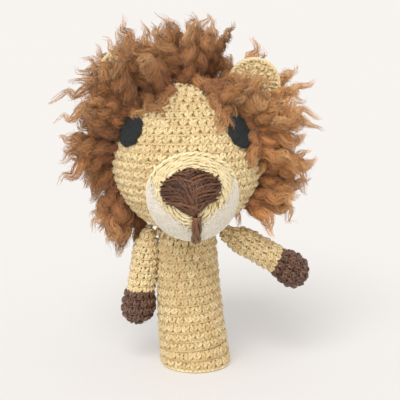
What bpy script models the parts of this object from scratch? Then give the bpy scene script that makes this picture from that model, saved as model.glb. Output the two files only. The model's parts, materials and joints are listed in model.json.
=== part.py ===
"""A crocheted lion finger puppet, built as the separate pieces that are sewn together to make it.

The frame: metres, +Z up, face towards -Y, origin at the middle of the puppet's footprint box, on the
plane of the sleeve's open bottom edge. The pieces are modelled about the centre of that edge, and the
whole puppet is moved onto the origin at the end. Left and right are the puppet's own, so its left arm
is on the +X side.
"""

import math

import bmesh
import bpy
from mathutils import Matrix, Vector

MM = 0.001
GAP = 0.3 * MM                     # clearance kept between neighbouring pieces
FILL_GAP = 0.7 * MM                # clearance between stuffing and the wall around it
FOOTPRINT_SHIFT = Vector((2.76, 3.38, 0.0)) * MM   # from the origin to the centre of the sleeve's edge

# Finger sleeve
SLEEVE_HEIGHT = 46.0 * MM
SLEEVE_BOTTOM_RADIUS = 12.8 * MM
SLEEVE_TOP_RADIUS = 10.5 * MM
SLEEVE_WALL = 2.4 * MM
SLEEVE_DRIFT = 3.2 * MM            # how far the sleeve leans towards -X at its top
HEM_ROUNDING = 0.5 * MM

# Head
HEAD_RADIUS = 27.2 * MM
HEAD_HEIGHT = 76.0 * MM            # of the head's centre
HEAD_WALL = 2.0 * MM
NECK_HOLE_RADIUS = 8.0 * MM
NECK_PIVOT_HEIGHT = 50.5 * MM
NECK_PLUG_RADIUS = 5.7 * MM
NECK_POCKET_CLEARANCE = 0.5 * MM
NECK_SEAM_HEIGHT = 49.2 * MM
NECK_SEAM_RADIUS = 9.3 * MM
NECK_SEAM_YARN_RADIUS = 0.8 * MM

# Muzzle, as offsets from the head's centre
MUZZLE_OFFSET = Vector((2.1, -22.0, -9.0)) * MM
MUZZLE_RADIUS = 15.3 * MM
MUZZLE_WALL = 1.8 * MM
SEAM_YARN_RADIUS = 0.5 * MM
CHIN_PATCH_THICKNESS = 0.7 * MM
CHIN_PATCH_POLAR = (50.0, 90.0)    # degrees from the muzzle's forward axis
CHIN_PATCH_SPREAD = 220.0          # degrees around the muzzle's underside
NOSE_THICKNESS = 1.1 * MM
NOSE_LIFT = 17.0                   # degrees the nose sits above the muzzle's forward axis
NOSE_ROLL = 6.0                    # degrees, the nose is sewn on a little askew
NOSE_WIDE_ANGLE = 41.0             # degrees from the nose's centre to its side corners
NOSE_TOP_ANGLE = 25.0
NOSE_TIP_ANGLE = 36.0
MOUTH_YARN_RADIUS = 0.9 * MM
MOUTH_POLAR = (22.0, 84.0)         # degrees below the muzzle's forward axis

# Eyes
EYE_DIRECTIONS = {"right": (-18.5, -16.6, 11.1), "left": (17.9, -17.4, 10.8)}
EYE_HALF_WIDTH = 4.6 * MM
EYE_HALF_HEIGHT = 5.5 * MM
EYE_THICKNESS = 1.0 * MM
EYE_CORNERS = 10

# Ears: angle above the horizontal and distance from the head's centre
EAR_PLACES = {"right": (127.2, 35.6 * MM), "left": (47.2, 34.2 * MM)}
EAR_RADIUS = 9.3 * MM
EAR_HALF_THICKNESS = 1.8 * MM
EAR_SETBACK = 1.0 * MM
EAR_ROOT_CLEARANCE = 0.8 * MM

# Arms
SHOULDER_OFFSET = 13.6 * MM        # sideways from the sleeve's axis to the shoulder pivot
SHOULDER_HEIGHT = 48.5 * MM
ARM_REST_ANGLES = {"right": 8.7, "left": 59.2}   # degrees out from straight down
ARM_BOWS = {"right": 1.6 * MM, "left": 0.9 * MM}
ARM_RADIUS = 4.65 * MM
ARM_ROOT_RADIUS = 2.9 * MM
ARM_MOUTH_RADIUS = 2.3 * MM        # the hole in the arm's pinched end
ARM_TAPER = 6.5 * MM               # length over which the arm grows to its full radius
ARM_WALL = 1.5 * MM
ARM_ROOT = 1.2 * MM                # from the pivot to where the arm's tube begins
CUFF_RADIUS = 4.9 * MM
PAW_RADIUS = 5.75 * MM
CUFF = 21.8 * MM                   # from the pivot to the colour change at the paw
PAW_TIP = 33.4 * MM
STUFFING_START = 3.4 * MM
STUFFING_END = 30.6 * MM
SHOULDER_COIL_RADIUS = 1.55 * MM
SHOULDER_COIL_YARN_RADIUS = 0.5 * MM

# Mane: polar angle from the face's forward axis, then the azimuth range and step of each row
MANE_LIFT = 0.4 * MM
MANE_ROWS = (
    {"polar": 70.0, "first": -118.0, "last": 118.0, "count": 13, "length": 15.5 * MM,
     "half_width": 4.7 * MM, "half_depth": 4.3 * MM},
    {"polar": 109.0, "first": -128.0, "last": 128.0, "count": 12, "length": 15.0 * MM,
     "half_width": 4.9 * MM, "half_depth": 4.6 * MM},
    {"polar": 136.0, "first": -140.0, "last": 140.0, "count": 9, "length": 12.0 * MM,
     "half_width": 4.6 * MM, "half_depth": 4.6 * MM},
)
MANE_CROWN_EXTRA = 4.5 * MM        # extra length of the locks at the top of the head
MANE_PARTING = 14.0                # degrees the front row's middle lock is set back from the forehead
MANE_TEMPLE = 80.0                 # azimuth past which the front row runs behind the cheeks
MANE_CHEEK_SETBACK = 12.0          # degrees it is set back there
MANE_DROOP = 4.0 * MM              # how far the tips of the low locks hang

YARN_YELLOW = (0.74, 0.53, 0.27)
YARN_WHITE = (0.80, 0.72, 0.62)
YARN_BROWN = (0.13, 0.055, 0.03)
YARN_CARAMEL = (0.36, 0.15, 0.05)
FELT_BLACK = (0.02, 0.022, 0.025)
FIBRE_WHITE = (0.85, 0.84, 0.82)

HEAD_CENTRE = Vector((-SLEEVE_DRIFT, 0.0, HEAD_HEIGHT))
MUZZLE_CENTRE = HEAD_CENTRE + MUZZLE_OFFSET
NECK_PIVOT = Vector((-SLEEVE_DRIFT, 0.0, NECK_PIVOT_HEIGHT))


# Scene helpers

def clear_scene():
    for old in list(bpy.data.objects):
        bpy.data.objects.remove(old, do_unlink=True)


def new_collection(name):
    group = bpy.data.collections.new(name)
    bpy.context.scene.collection.children.link(group)
    return group


def material(name, colour, roughness=0.85):
    made = bpy.data.materials.new(name)
    made.use_nodes = True
    shader = made.node_tree.nodes["Principled BSDF"]
    shader.inputs["Base Color"].default_value = (*colour, 1.0)
    shader.inputs["Roughness"].default_value = roughness
    shader.inputs["Metallic"].default_value = 0.0
    made.diffuse_color = (*colour, 1.0)
    return made


def add_mesh(name, mesh, colour, group=None):
    """Link a mesh as a smooth-shaded object with a material of its own."""
    piece = bpy.data.objects.new(name, mesh)
    (group or parts).objects.link(piece)
    mesh.materials.clear()
    mesh.materials.append(material(name, colour))
    mesh.shade_smooth()
    mesh.set_sharp_from_angle(angle=math.radians(50))
    return piece


def finish_bmesh(name, cage):
    mesh = bpy.data.meshes.new(name)
    cage.to_mesh(mesh)
    cage.free()
    return mesh


def turned_mesh(name, profile, steps=32, closed=True, angle=360.0):
    """Turn (radius, height) points about Z; they run down the outer side first."""
    mesh = bpy.data.meshes.new(name)
    count = len(profile)
    edges = [(i, i + 1) for i in range(count - 1)]
    if closed:
        edges.append((count - 1, 0))
    mesh.from_pydata([(r, 0.0, z) for r, z in profile], edges, [])
    guide = bpy.data.objects.new(name, mesh)
    parts.objects.link(guide)
    screw = guide.modifiers.new("turn", "SCREW")
    screw.angle = math.radians(angle)
    screw.steps = steps
    screw.render_steps = steps
    screw.use_merge_vertices = True
    screw.merge_threshold = 0.00001
    return bake(guide)


def bake(guide):
    """Return the evaluated mesh of a guide object at the origin and remove the guide."""
    depsgraph = bpy.context.evaluated_depsgraph_get()
    mesh = bpy.data.meshes.new_from_object(guide.evaluated_get(depsgraph))
    bpy.data.objects.remove(guide, do_unlink=True)
    return mesh


def sphere_mesh(name, radius, segments=32, rings=16, axis="Z"):
    cage = bmesh.new()
    bmesh.ops.create_uvsphere(cage, u_segments=segments, v_segments=rings, radius=radius)
    if axis == "Y":
        bmesh.ops.rotate(cage, verts=cage.verts, matrix=Matrix.Rotation(math.pi / 2, 3, "X"))
    return finish_bmesh(name, cage)


def torus_mesh(name, major, minor, segments=24, sides=6):
    """A closed ring of yarn about Z."""
    ring = []
    for i in range(sides):
        turn = -2 * math.pi * i / sides
        ring.append((major + minor * math.cos(turn), minor * math.sin(turn)))
    return turned_mesh(name, ring, steps=segments)


def cutter_sphere(name, centre, radius, segments=32, rings=16):
    tool = bpy.data.objects.new(name, sphere_mesh(name, radius, segments, rings))
    tool.location = centre
    tool.hide_render = True
    tool.display_type = "WIRE"
    cutters.objects.link(tool)
    return tool


def cut(piece, tool):
    boolean = piece.modifiers.new("cut_" + tool.name, "BOOLEAN")
    boolean.operation = "DIFFERENCE"
    boolean.object = tool


def turn_towards(direction, roll=0.0):
    """A rotation that carries +Z onto a direction, with its local +Y kept as high as it can be."""
    forward = Vector(direction).normalized()
    side = Vector((0.0, 0.0, 1.0)).cross(forward).normalized()
    up = forward.cross(side)
    frame = Matrix((side, up, forward)).transposed()
    return frame @ Matrix.Rotation(math.radians(roll), 3, "Z")


def curved_patch(name, radius, outline, thickness, segments, rings):
    """A patch lying on a sphere about the origin, facing +Z; outline(turn) gives its edge's angle."""
    cage = bmesh.new()
    bmesh.ops.create_uvsphere(cage, u_segments=segments, v_segments=2 * rings, radius=1.0)
    low = [v for v in cage.verts if v.co.z < -0.001]
    bmesh.ops.delete(cage, geom=low, context="VERTS")
    for vert in cage.verts:
        turn = math.atan2(vert.co.y, vert.co.x)
        reach = math.acos(min(1.0, vert.co.z)) / (math.pi / 2)
        angle = reach * outline(turn)
        flat = Vector((math.cos(turn), math.sin(turn), 0.0)) * math.sin(angle)
        vert.co = (flat + Vector((0.0, 0.0, math.cos(angle)))) * radius
    mesh = finish_bmesh(name, cage)
    guide = bpy.data.objects.new(name, mesh)
    parts.objects.link(guide)
    thicken(guide, thickness, outward=True)
    return bake(guide)


def thicken(piece, thickness, outward):
    solidify = piece.modifiers.new("wall", "SOLIDIFY")
    solidify.thickness = thickness
    solidify.offset = 1.0 if outward else -1.0
    solidify.use_even_offset = True
    solidify.use_quality_normals = True


# Finger sleeve and neck

def sleeve_centre(height):
    """The sleeve leans sideways quickly near its hem and then runs nearly straight up."""
    rise = min(1.0, height / SLEEVE_HEIGHT)
    return -SLEEVE_DRIFT * (1.0 - (1.0 - rise) ** 2)


def sleeve_radius(height):
    return SLEEVE_BOTTOM_RADIUS + (SLEEVE_TOP_RADIUS - SLEEVE_BOTTOM_RADIUS) * height / SLEEVE_HEIGHT


def make_sleeve():
    levels = 6
    heights = [SLEEVE_HEIGHT * i / levels for i in range(levels, -1, -1)]
    outer = [(sleeve_radius(h), h) for h in heights]
    inner = [(sleeve_radius(h) - SLEEVE_WALL, h) for h in reversed(heights)]
    profile = chamfer_ends(outer, -HEM_ROUNDING) + chamfer_ends(inner, HEM_ROUNDING)
    mesh = turned_mesh("body_sleeve", profile, steps=32)
    for vert in mesh.vertices:
        vert.co.x += sleeve_centre(vert.co.z)
    add_mesh("body_sleeve", mesh, YARN_YELLOW)


def chamfer_ends(line, size):
    """Take the corners off both ends of a wall line: size is below 0 on an outer wall, which runs down."""
    first, last = line[0], line[-1]
    start = [(first[0] + size, first[1]), (first[0], first[1] + size)]
    end = [(last[0], last[1] - size), (last[0] + size, last[1])]
    return start + line[1:-1] + end


def make_neck():
    plug = add_mesh("neck_stuffing", sphere_mesh("neck_stuffing", NECK_PLUG_RADIUS, 20, 10), FIBRE_WHITE)
    plug.location = NECK_PIVOT
    ring = torus_mesh("neck_seam_yarn", NECK_SEAM_RADIUS, NECK_SEAM_YARN_RADIUS)
    seam = add_mesh("neck_seam_yarn", ring, YARN_YELLOW)
    seam.location = (NECK_PIVOT.x, 0.0, NECK_SEAM_HEIGHT)


# Head and face

def make_head(pivot):
    opening = math.asin(NECK_HOLE_RADIUS / HEAD_RADIUS)
    levels = 12
    arc = [i * (math.pi - opening) / levels for i in range(levels + 1)]
    profile = [(HEAD_RADIUS * math.sin(a), HEAD_RADIUS * math.cos(a)) for a in arc]
    mesh = turned_mesh("head_shell", profile, steps=28, closed=False)
    shell = add_mesh("head_shell", mesh, YARN_YELLOW)
    thicken(shell, HEAD_WALL, outward=False)
    shell.location = HEAD_CENTRE
    ride(shell, pivot)

    fill_radius = HEAD_RADIUS - HEAD_WALL - FILL_GAP
    stuffing = add_mesh("head_stuffing", sphere_mesh("head_stuffing", fill_radius, 20, 12), FIBRE_WHITE)
    stuffing.location = HEAD_CENTRE
    pocket = cutter_sphere("neck_pocket", NECK_PIVOT, NECK_PLUG_RADIUS + NECK_POCKET_CLEARANCE, 24, 12)
    cut(stuffing, pocket)
    ride(stuffing, pivot)


def make_muzzle(pivot, head_space):
    inner = MUZZLE_RADIUS - MUZZLE_WALL
    cup = add_mesh("muzzle_cup", sphere_mesh("muzzle_cup", MUZZLE_RADIUS, 24, 14, "Y"), YARN_YELLOW)
    cup.location = MUZZLE_CENTRE
    cut(cup, cutter_sphere("muzzle_hollow", MUZZLE_CENTRE, inner, 20, 12))
    cut(cup, head_space)
    ride(cup, pivot)

    fill = sphere_mesh("muzzle_stuffing", inner - FILL_GAP, 16, 10)
    stuffing = add_mesh("muzzle_stuffing", fill, FIBRE_WHITE)
    stuffing.location = MUZZLE_CENTRE
    cut(stuffing, head_space)
    ride(stuffing, pivot)

    # the seam runs where the two round surfaces meet, clear of both
    reach = MUZZLE_OFFSET.length
    from_head = HEAD_RADIUS + GAP + SEAM_YARN_RADIUS
    from_muzzle = MUZZLE_RADIUS + GAP + CHIN_PATCH_THICKNESS + GAP + SEAM_YARN_RADIUS
    along = (reach ** 2 + from_head ** 2 - from_muzzle ** 2) / (2 * reach)
    around = math.sqrt(from_head ** 2 - along ** 2)
    ring = torus_mesh("muzzle_seam_yarn", around, SEAM_YARN_RADIUS, 28, 5)
    seam = add_mesh("muzzle_seam_yarn", ring, YARN_YELLOW)
    seam.location = HEAD_CENTRE + MUZZLE_OFFSET.normalized() * along
    seam.rotation_euler = turn_towards(MUZZLE_OFFSET).to_euler()
    ride(seam, pivot)


def make_chin_patch(pivot, head_space):
    """A white crescent around the underside of the muzzle."""
    radius = MUZZLE_RADIUS + GAP
    steps = 5
    near, far = (math.radians(a) for a in CHIN_PATCH_POLAR)
    angles = [near + (far - near) * i / steps for i in range(steps + 1)]
    profile = [(radius * math.sin(a), radius * math.cos(a)) for a in angles]
    mesh = turned_mesh("chin_patch", profile, steps=20, closed=False, angle=CHIN_PATCH_SPREAD)
    # the turn starts at +X, so half the spread is turned back to centre the band on -Y
    middle = math.radians(CHIN_PATCH_SPREAD / 2)
    mesh.transform(Matrix.Rotation(-math.pi / 2 - middle, 4, "Z"))
    patch = add_mesh("chin_patch", mesh, YARN_WHITE)
    thicken(patch, CHIN_PATCH_THICKNESS, outward=True)
    cut(patch, head_space)
    patch.location = MUZZLE_CENTRE
    patch.rotation_euler = turn_towards((0.0, -1.0, 0.0)).to_euler()
    ride(patch, pivot)


def nose_outline(turn):
    """A rounded fan: wide at its sides, a low dome above and a point below."""
    side = math.cos(turn)
    up = math.sin(turn)
    tall = NOSE_TOP_ANGLE if up > 0 else NOSE_TIP_ANGLE
    power = 2.0 if up > 0 else 1.15
    reach = (abs(side / NOSE_WIDE_ANGLE) ** power + abs(up / tall) ** power) ** (-1.0 / power)
    return math.radians(reach)


def make_nose_and_mouth(pivot):
    radius = MUZZLE_RADIUS + GAP
    mesh = curved_patch("nose_embroidery", radius, nose_outline, NOSE_THICKNESS, 20, 4)
    nose = add_mesh("nose_embroidery", mesh, YARN_BROWN)
    lift = math.radians(NOSE_LIFT)
    facing = (-math.sin(math.radians(4.0)), -math.cos(lift), math.sin(lift))
    nose.location = MUZZLE_CENTRE
    nose.rotation_euler = turn_towards(facing, NOSE_ROLL).to_euler()
    ride(nose, pivot)

    # one long stitch, laid over the chin from the tip of the nose
    reach = MUZZLE_RADIUS + NOSE_THICKNESS + 2 * GAP + MOUTH_YARN_RADIUS
    steps = 9
    start, end = (math.radians(a) for a in MOUTH_POLAR)
    path = bpy.data.curves.new("mouth_stitch", "CURVE")
    path.dimensions = "3D"
    path.bevel_depth = MOUTH_YARN_RADIUS
    path.bevel_resolution = 2
    path.use_fill_caps = True
    line = path.splines.new("POLY")
    line.points.add(steps)
    for i, point in enumerate(line.points):
        angle = start + (end - start) * i / steps
        point.co = (0.0, -reach * math.cos(angle), -reach * math.sin(angle), 1.0)
    guide = bpy.data.objects.new("mouth_stitch", path)
    parts.objects.link(guide)
    mesh = bake(guide)
    weld(mesh)
    stitch = add_mesh("mouth_stitch", mesh, YARN_BROWN)
    stitch.location = MUZZLE_CENTRE
    ride(stitch, pivot)


def weld(mesh):
    cage = bmesh.new()
    cage.from_mesh(mesh)
    bmesh.ops.remove_doubles(cage, verts=cage.verts, dist=0.00001)
    cage.to_mesh(mesh)
    cage.free()


def eye_outline(turn):
    wide = math.cos(turn) / EYE_HALF_WIDTH
    tall = math.sin(turn) / EYE_HALF_HEIGHT
    return 1.0 / math.hypot(wide, tall) / HEAD_RADIUS


def make_eye(side, pivot):
    name = side + "_eye_felt"
    mesh = curved_patch(name, HEAD_RADIUS + GAP, eye_outline, EYE_THICKNESS, EYE_CORNERS, 3)
    eye = add_mesh(name, mesh, FELT_BLACK)
    eye.location = HEAD_CENTRE
    eye.rotation_euler = turn_towards(EYE_DIRECTIONS[side]).to_euler()
    ride(eye, pivot)


def make_ear(side, head_pivot, ear_space):
    """A round flat ear that leans on the head along its base."""
    angle, distance = EAR_PLACES[side]
    outward = Vector((math.cos(math.radians(angle)), 0.0, math.sin(math.radians(angle))))
    setback = Vector((0.0, EAR_SETBACK, 0.0))
    pivot = bpy.data.objects.new(side + "_ear_pivot", None)
    pivot.location = HEAD_CENTRE + setback + outward * (HEAD_RADIUS + EAR_ROOT_CLEARANCE)
    pivot.rotation_euler = (0.0, math.radians(90.0 - angle), 0.0)
    parts.objects.link(pivot)
    ride(pivot, head_pivot)

    mesh = sphere_mesh(side + "_ear", EAR_RADIUS, 18, 10, "Y")
    mesh.transform(Matrix.Diagonal((1.0, EAR_HALF_THICKNESS / EAR_RADIUS, 1.0, 1.0)))
    ear = add_mesh(side + "_ear", mesh, YARN_YELLOW)
    ear.location = HEAD_CENTRE + setback + outward * distance
    ear.rotation_euler = (0.0, math.radians(90.0 - angle), 0.0)
    cut(ear, ear_space)
    ride(ear, pivot)


# Arms

def arm_radius(along):
    """Outer radius of the arm's tube: pinched at the shoulder, full from a quarter of the way."""
    grow = min(1.0, max(0.0, along - ARM_ROOT) / ARM_TAPER)
    return ARM_ROOT_RADIUS + (ARM_RADIUS - ARM_ROOT_RADIUS) * math.sin(grow * math.pi / 2)


def paw_radius(along):
    """Outer radius of the paw: a little bulb, widest just before its middle, with a rounded tip."""
    share = (along - CUFF) / (PAW_TIP - CUFF)
    widest = 0.45
    if share < widest:
        swell = math.sin(share / widest * math.pi / 2)
        return CUFF_RADIUS + (PAW_RADIUS - CUFF_RADIUS) * swell
    fall = (share - widest) / (1.0 - widest)
    return PAW_RADIUS * math.sqrt(max(0.0, 1.0 - fall ** 2.2))


def bend_arm(mesh, bow):
    """Bow the arm outwards between the shoulder and the paw."""
    for vert in mesh.vertices:
        share = min(1.0, max(0.0, -vert.co.z / PAW_TIP))
        vert.co.x += bow * math.sin(math.pi * share)


def make_arm(side):
    sign = -1.0 if side == "right" else 1.0
    pivot = bpy.data.objects.new(side + "_shoulder_pivot", None)
    pivot.location = (-SLEEVE_DRIFT + sign * SHOULDER_OFFSET, 0.0, SHOULDER_HEIGHT)
    pivot.rotation_euler = (0.0, -sign * math.radians(ARM_REST_ANGLES[side]), 0.0)
    parts.objects.link(pivot)
    bow = sign * ARM_BOWS[side]
    make_arm_tube(side, bow, pivot)
    make_paw(side, bow, pivot)
    make_arm_stuffing(side, bow, pivot)
    name = side + "_shoulder_seam_yarn"
    ring = torus_mesh(name, SHOULDER_COIL_RADIUS, SHOULDER_COIL_YARN_RADIUS, 16, 6)
    place_on(add_mesh(name, ring, YARN_YELLOW), pivot)


def make_arm_tube(side, bow, pivot):
    levels = 6
    spots = [ARM_ROOT + (CUFF - GAP - ARM_ROOT) * i / levels for i in range(levels + 1)]
    outer = [(arm_radius(s), -s) for s in spots]
    inner = [(arm_radius(s) - ARM_WALL, -s) for s in reversed(spots)]
    inner[-1] = (ARM_MOUTH_RADIUS, -ARM_ROOT)
    tube = turned_mesh(side + "_arm_tube", outer + inner, steps=16)
    bend_arm(tube, bow)
    place_on(add_mesh(side + "_arm_tube", tube, YARN_YELLOW), pivot)


def make_paw(side, bow, pivot):
    """A cup that is open where it meets the arm's tube."""
    length = PAW_TIP - CUFF
    depth = length - ARM_WALL
    levels = 7
    shares = [math.sin(i / levels * math.pi / 2) for i in range(levels + 1)]
    outer = [(paw_radius(CUFF + length * s), -(CUFF + length * s)) for s in shares]
    inner = []
    for share in reversed(shares):
        room = max(0.0, paw_radius(CUFF + length * share) - ARM_WALL)
        inner.append((room, -(CUFF + depth * share)))
    paw = turned_mesh(side + "_paw_cap", outer + inner, steps=16, closed=False)
    close_rims(paw)
    bend_arm(paw, bow)
    place_on(add_mesh(side + "_paw_cap", paw, YARN_BROWN), pivot)


def make_arm_stuffing(side, bow, pivot):
    """Fibre that fills the arm and the paw, rounded at both ends."""
    levels = 8
    length = STUFFING_END - STUFFING_START
    profile = []
    for i in range(levels + 1):
        spot = STUFFING_START + length * i / levels
        wall = arm_radius(spot) if spot < CUFF else min(arm_radius(spot), paw_radius(spot))
        rounding = (1.0 - abs(2.0 * i / levels - 1.0) ** 6) ** 0.5
        profile.append(((wall - ARM_WALL - GAP) * rounding, -spot))
    fill = turned_mesh(side + "_arm_stuffing", profile, steps=12, closed=False)
    bend_arm(fill, bow)
    place_on(add_mesh(side + "_arm_stuffing", fill, FIBRE_WHITE), pivot)


def close_rims(mesh):
    """Join the two rims of an open double wall with one ring of faces."""
    cage = bmesh.new()
    cage.from_mesh(mesh)
    rims = [e for e in cage.edges if e.is_boundary]
    bmesh.ops.bridge_loops(cage, edges=rims)
    bmesh.ops.recalc_face_normals(cage, faces=cage.faces)
    cage.to_mesh(mesh)
    cage.free()


def place_on(piece, pivot):
    """Parent a piece that is modelled about its pivot's own origin."""
    piece.parent = pivot


def ride(piece, pivot):
    """Parent a piece that is placed in the world, and keep it where it is."""
    piece.parent = pivot
    piece.matrix_parent_inverse = world_of(pivot).inverted()


def world_of(empty):
    """The world matrix of an empty and its parents, worked out before the scene is updated."""
    here = Matrix.LocRotScale(empty.location, empty.rotation_euler, None)
    if empty.parent:
        return world_of(empty.parent) @ empty.matrix_parent_inverse @ here
    return here


# Mane

def make_lock(name, row, polar_angle, azimuth, pivot):
    """One tuft of brushed yarn: a rounded clump that stands out of the head and narrows to its tip."""
    polar = math.radians(polar_angle)
    around = math.radians(azimuth)
    normal = Vector((math.sin(polar) * math.sin(around), -math.cos(polar),
                     math.sin(polar) * math.cos(around)))
    sideways = Vector((math.cos(around), 0.0, -math.sin(around)))
    depthways = normal.cross(sideways)
    crown = max(0.0, math.cos(around)) ** 2
    length = row["length"] + MANE_CROWN_EXTRA * crown
    droop = MANE_DROOP * max(0.0, -math.cos(around))

    cage = bmesh.new()
    bmesh.ops.create_uvsphere(cage, u_segments=8, v_segments=6, radius=1.0)
    for vert in cage.verts:
        share = (vert.co.z + 1.0) / 2.0
        # blunter ends than an ellipsoid's, and a narrower tip than root
        height = min(abs(vert.co.z), 0.999)
        blunt = (1.0 - height ** 3) ** (1.0 / 3.0) / math.sqrt(1.0 - height ** 2)
        fullness = blunt * (1.08 - 0.34 * share)
        spot = normal * (HEAD_RADIUS + MANE_LIFT + share * length)
        spot += sideways * (vert.co.x * fullness * row["half_width"])
        spot += depthways * (vert.co.y * fullness * row["half_depth"])
        spot.z -= droop * share ** 2
        vert.co = spot
    lock = add_mesh(name, finish_bmesh(name, cage), YARN_CARAMEL)
    lock.location = HEAD_CENTRE
    ride(lock, pivot)


def front_setback(azimuth):
    """The front row starts behind the top of the forehead and behind the cheeks."""
    if abs(azimuth) < 10.0:
        return MANE_PARTING
    return MANE_CHEEK_SETBACK if abs(azimuth) > MANE_TEMPLE else 0.0


def make_mane(pivot):
    number = 0
    for row in MANE_ROWS:
        step = (row["last"] - row["first"]) / (row["count"] - 1)
        for i in range(row["count"]):
            number += 1
            azimuth = row["first"] + i * step
            setback = front_setback(azimuth) if row is MANE_ROWS[0] else 0.0
            make_lock(f"mane_lock_{number:02d}", row, row["polar"] + setback, azimuth, pivot)


clear_scene()
parts = new_collection("lion_finger_puppet")
cutters = new_collection("cutters")

make_sleeve()
make_neck()

head_pivot = bpy.data.objects.new("head_pivot", None)
head_pivot.location = NECK_PIVOT
parts.objects.link(head_pivot)
head_space = cutter_sphere("head_space", HEAD_CENTRE, HEAD_RADIUS + GAP)
ear_space = cutter_sphere("ear_space", HEAD_CENTRE, HEAD_RADIUS + EAR_ROOT_CLEARANCE)
make_head(head_pivot)
make_muzzle(head_pivot, head_space)
make_chin_patch(head_pivot, head_space)
make_nose_and_mouth(head_pivot)
for side_name in ("right", "left"):
    make_eye(side_name, head_pivot)
    make_ear(side_name, head_pivot, ear_space)
    make_arm(side_name)
make_mane(head_pivot)

for piece in list(parts.objects) + list(cutters.objects):
    if piece.parent is None:
        piece.location += FOOTPRINT_SHIFT

bpy.context.view_layer.update()
nodes = [o for o in parts.objects if o.type == "MESH"]
depsgraph = bpy.context.evaluated_depsgraph_get()
triangles = 0
for node in nodes:
    evaluated = node.evaluated_get(depsgraph).to_mesh()
    evaluated.calc_loop_triangles()
    triangles += len(evaluated.loop_triangles)
print(len(nodes), "nodes,", triangles, "triangles")
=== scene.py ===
"""The looks of a crocheted lion finger puppet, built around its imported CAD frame.

Every visible surface is made as yarn: crochet stitches over a liner, satin stitches, felt, and a mane
of brushed strands. Lengths are metres in the frame's own space: +Z up, face towards -Y.
"""

import json
import math

import bpy
import numpy as np
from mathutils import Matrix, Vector


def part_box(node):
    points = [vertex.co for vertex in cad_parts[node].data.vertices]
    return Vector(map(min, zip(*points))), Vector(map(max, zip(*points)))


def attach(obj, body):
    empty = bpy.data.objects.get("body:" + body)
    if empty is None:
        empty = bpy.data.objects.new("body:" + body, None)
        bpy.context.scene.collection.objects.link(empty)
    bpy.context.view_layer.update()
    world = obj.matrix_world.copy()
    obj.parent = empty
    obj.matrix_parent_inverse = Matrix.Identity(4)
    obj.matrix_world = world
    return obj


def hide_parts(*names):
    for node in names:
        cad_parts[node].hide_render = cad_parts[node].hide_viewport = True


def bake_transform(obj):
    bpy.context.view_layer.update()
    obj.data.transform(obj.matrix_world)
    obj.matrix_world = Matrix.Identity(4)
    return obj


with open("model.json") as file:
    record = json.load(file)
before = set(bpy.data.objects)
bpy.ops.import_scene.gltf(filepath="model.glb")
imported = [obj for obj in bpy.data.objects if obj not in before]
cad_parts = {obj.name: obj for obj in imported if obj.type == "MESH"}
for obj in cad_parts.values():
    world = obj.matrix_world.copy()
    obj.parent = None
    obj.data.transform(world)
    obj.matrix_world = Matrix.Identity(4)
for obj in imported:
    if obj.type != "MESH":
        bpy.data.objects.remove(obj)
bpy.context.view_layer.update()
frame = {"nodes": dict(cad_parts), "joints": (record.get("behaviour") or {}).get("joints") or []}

MM = 0.001
TURN = 2.0 * math.pi
JOINTS = {joint["name"]: joint for joint in frame["joints"]}


# Places read from the frame

def middle(node):
    """The middle of a node's box."""
    low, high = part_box(node)
    return (low + high) / 2


SLEEVE_LOW, SLEEVE_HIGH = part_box("body_sleeve")
SLEEVE_HEIGHT = SLEEVE_HIGH.z
SLEEVE_RADIUS = (SLEEVE_HIGH.y - SLEEVE_LOW.y) / 2
SLEEVE_X = SLEEVE_HIGH.x - SLEEVE_RADIUS
SLEEVE_Y = middle("body_sleeve").y

HEAD_LOW, HEAD_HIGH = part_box("head_shell")
HEAD_RADIUS = (HEAD_HIGH.y - HEAD_LOW.y) / 2
HEAD = Vector((middle("head_shell").x, middle("head_shell").y, HEAD_HIGH.z - HEAD_RADIUS))

MUZZLE_SHARE = 0.965           # the yarn stands off the ball that it is worked round
MUZZLE_LOW, MUZZLE_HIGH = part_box("muzzle_cup")
MUZZLE_RADIUS = MUZZLE_SHARE * (MUZZLE_HIGH.x - MUZZLE_LOW.x) / 2
MUZZLE = Vector((
    middle("muzzle_cup").x,
    MUZZLE_LOW.y + MUZZLE_RADIUS,
    MUZZLE_LOW.z + MUZZLE_RADIUS,
))


# Geometry kit

CELL_MARGIN = 0.06             # kept clear round each cell of the bake, as a share of it


def unit(vectors):
    """Vectors scaled to length one along their last axis."""
    length = np.linalg.norm(vectors, axis=-1, keepdims=True)
    return vectors / np.maximum(length, 1e-12)


def smooth(value):
    """From 0 to 1 with level ends."""
    value = np.clip(value, 0.0, 1.0)
    return value * value * (3.0 - 2.0 * value)


def corner_values(first, second):
    """Values at the four corners of quads that run from first (u0, v0) to second (u1, v1)."""
    u0, v0 = first
    u1, v1 = second
    corners = ((u0, v0), (u0, v1), (u1, v1), (u1, v0))
    return np.stack([np.stack(corner, -1) for corner in corners], axis=-2)


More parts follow.
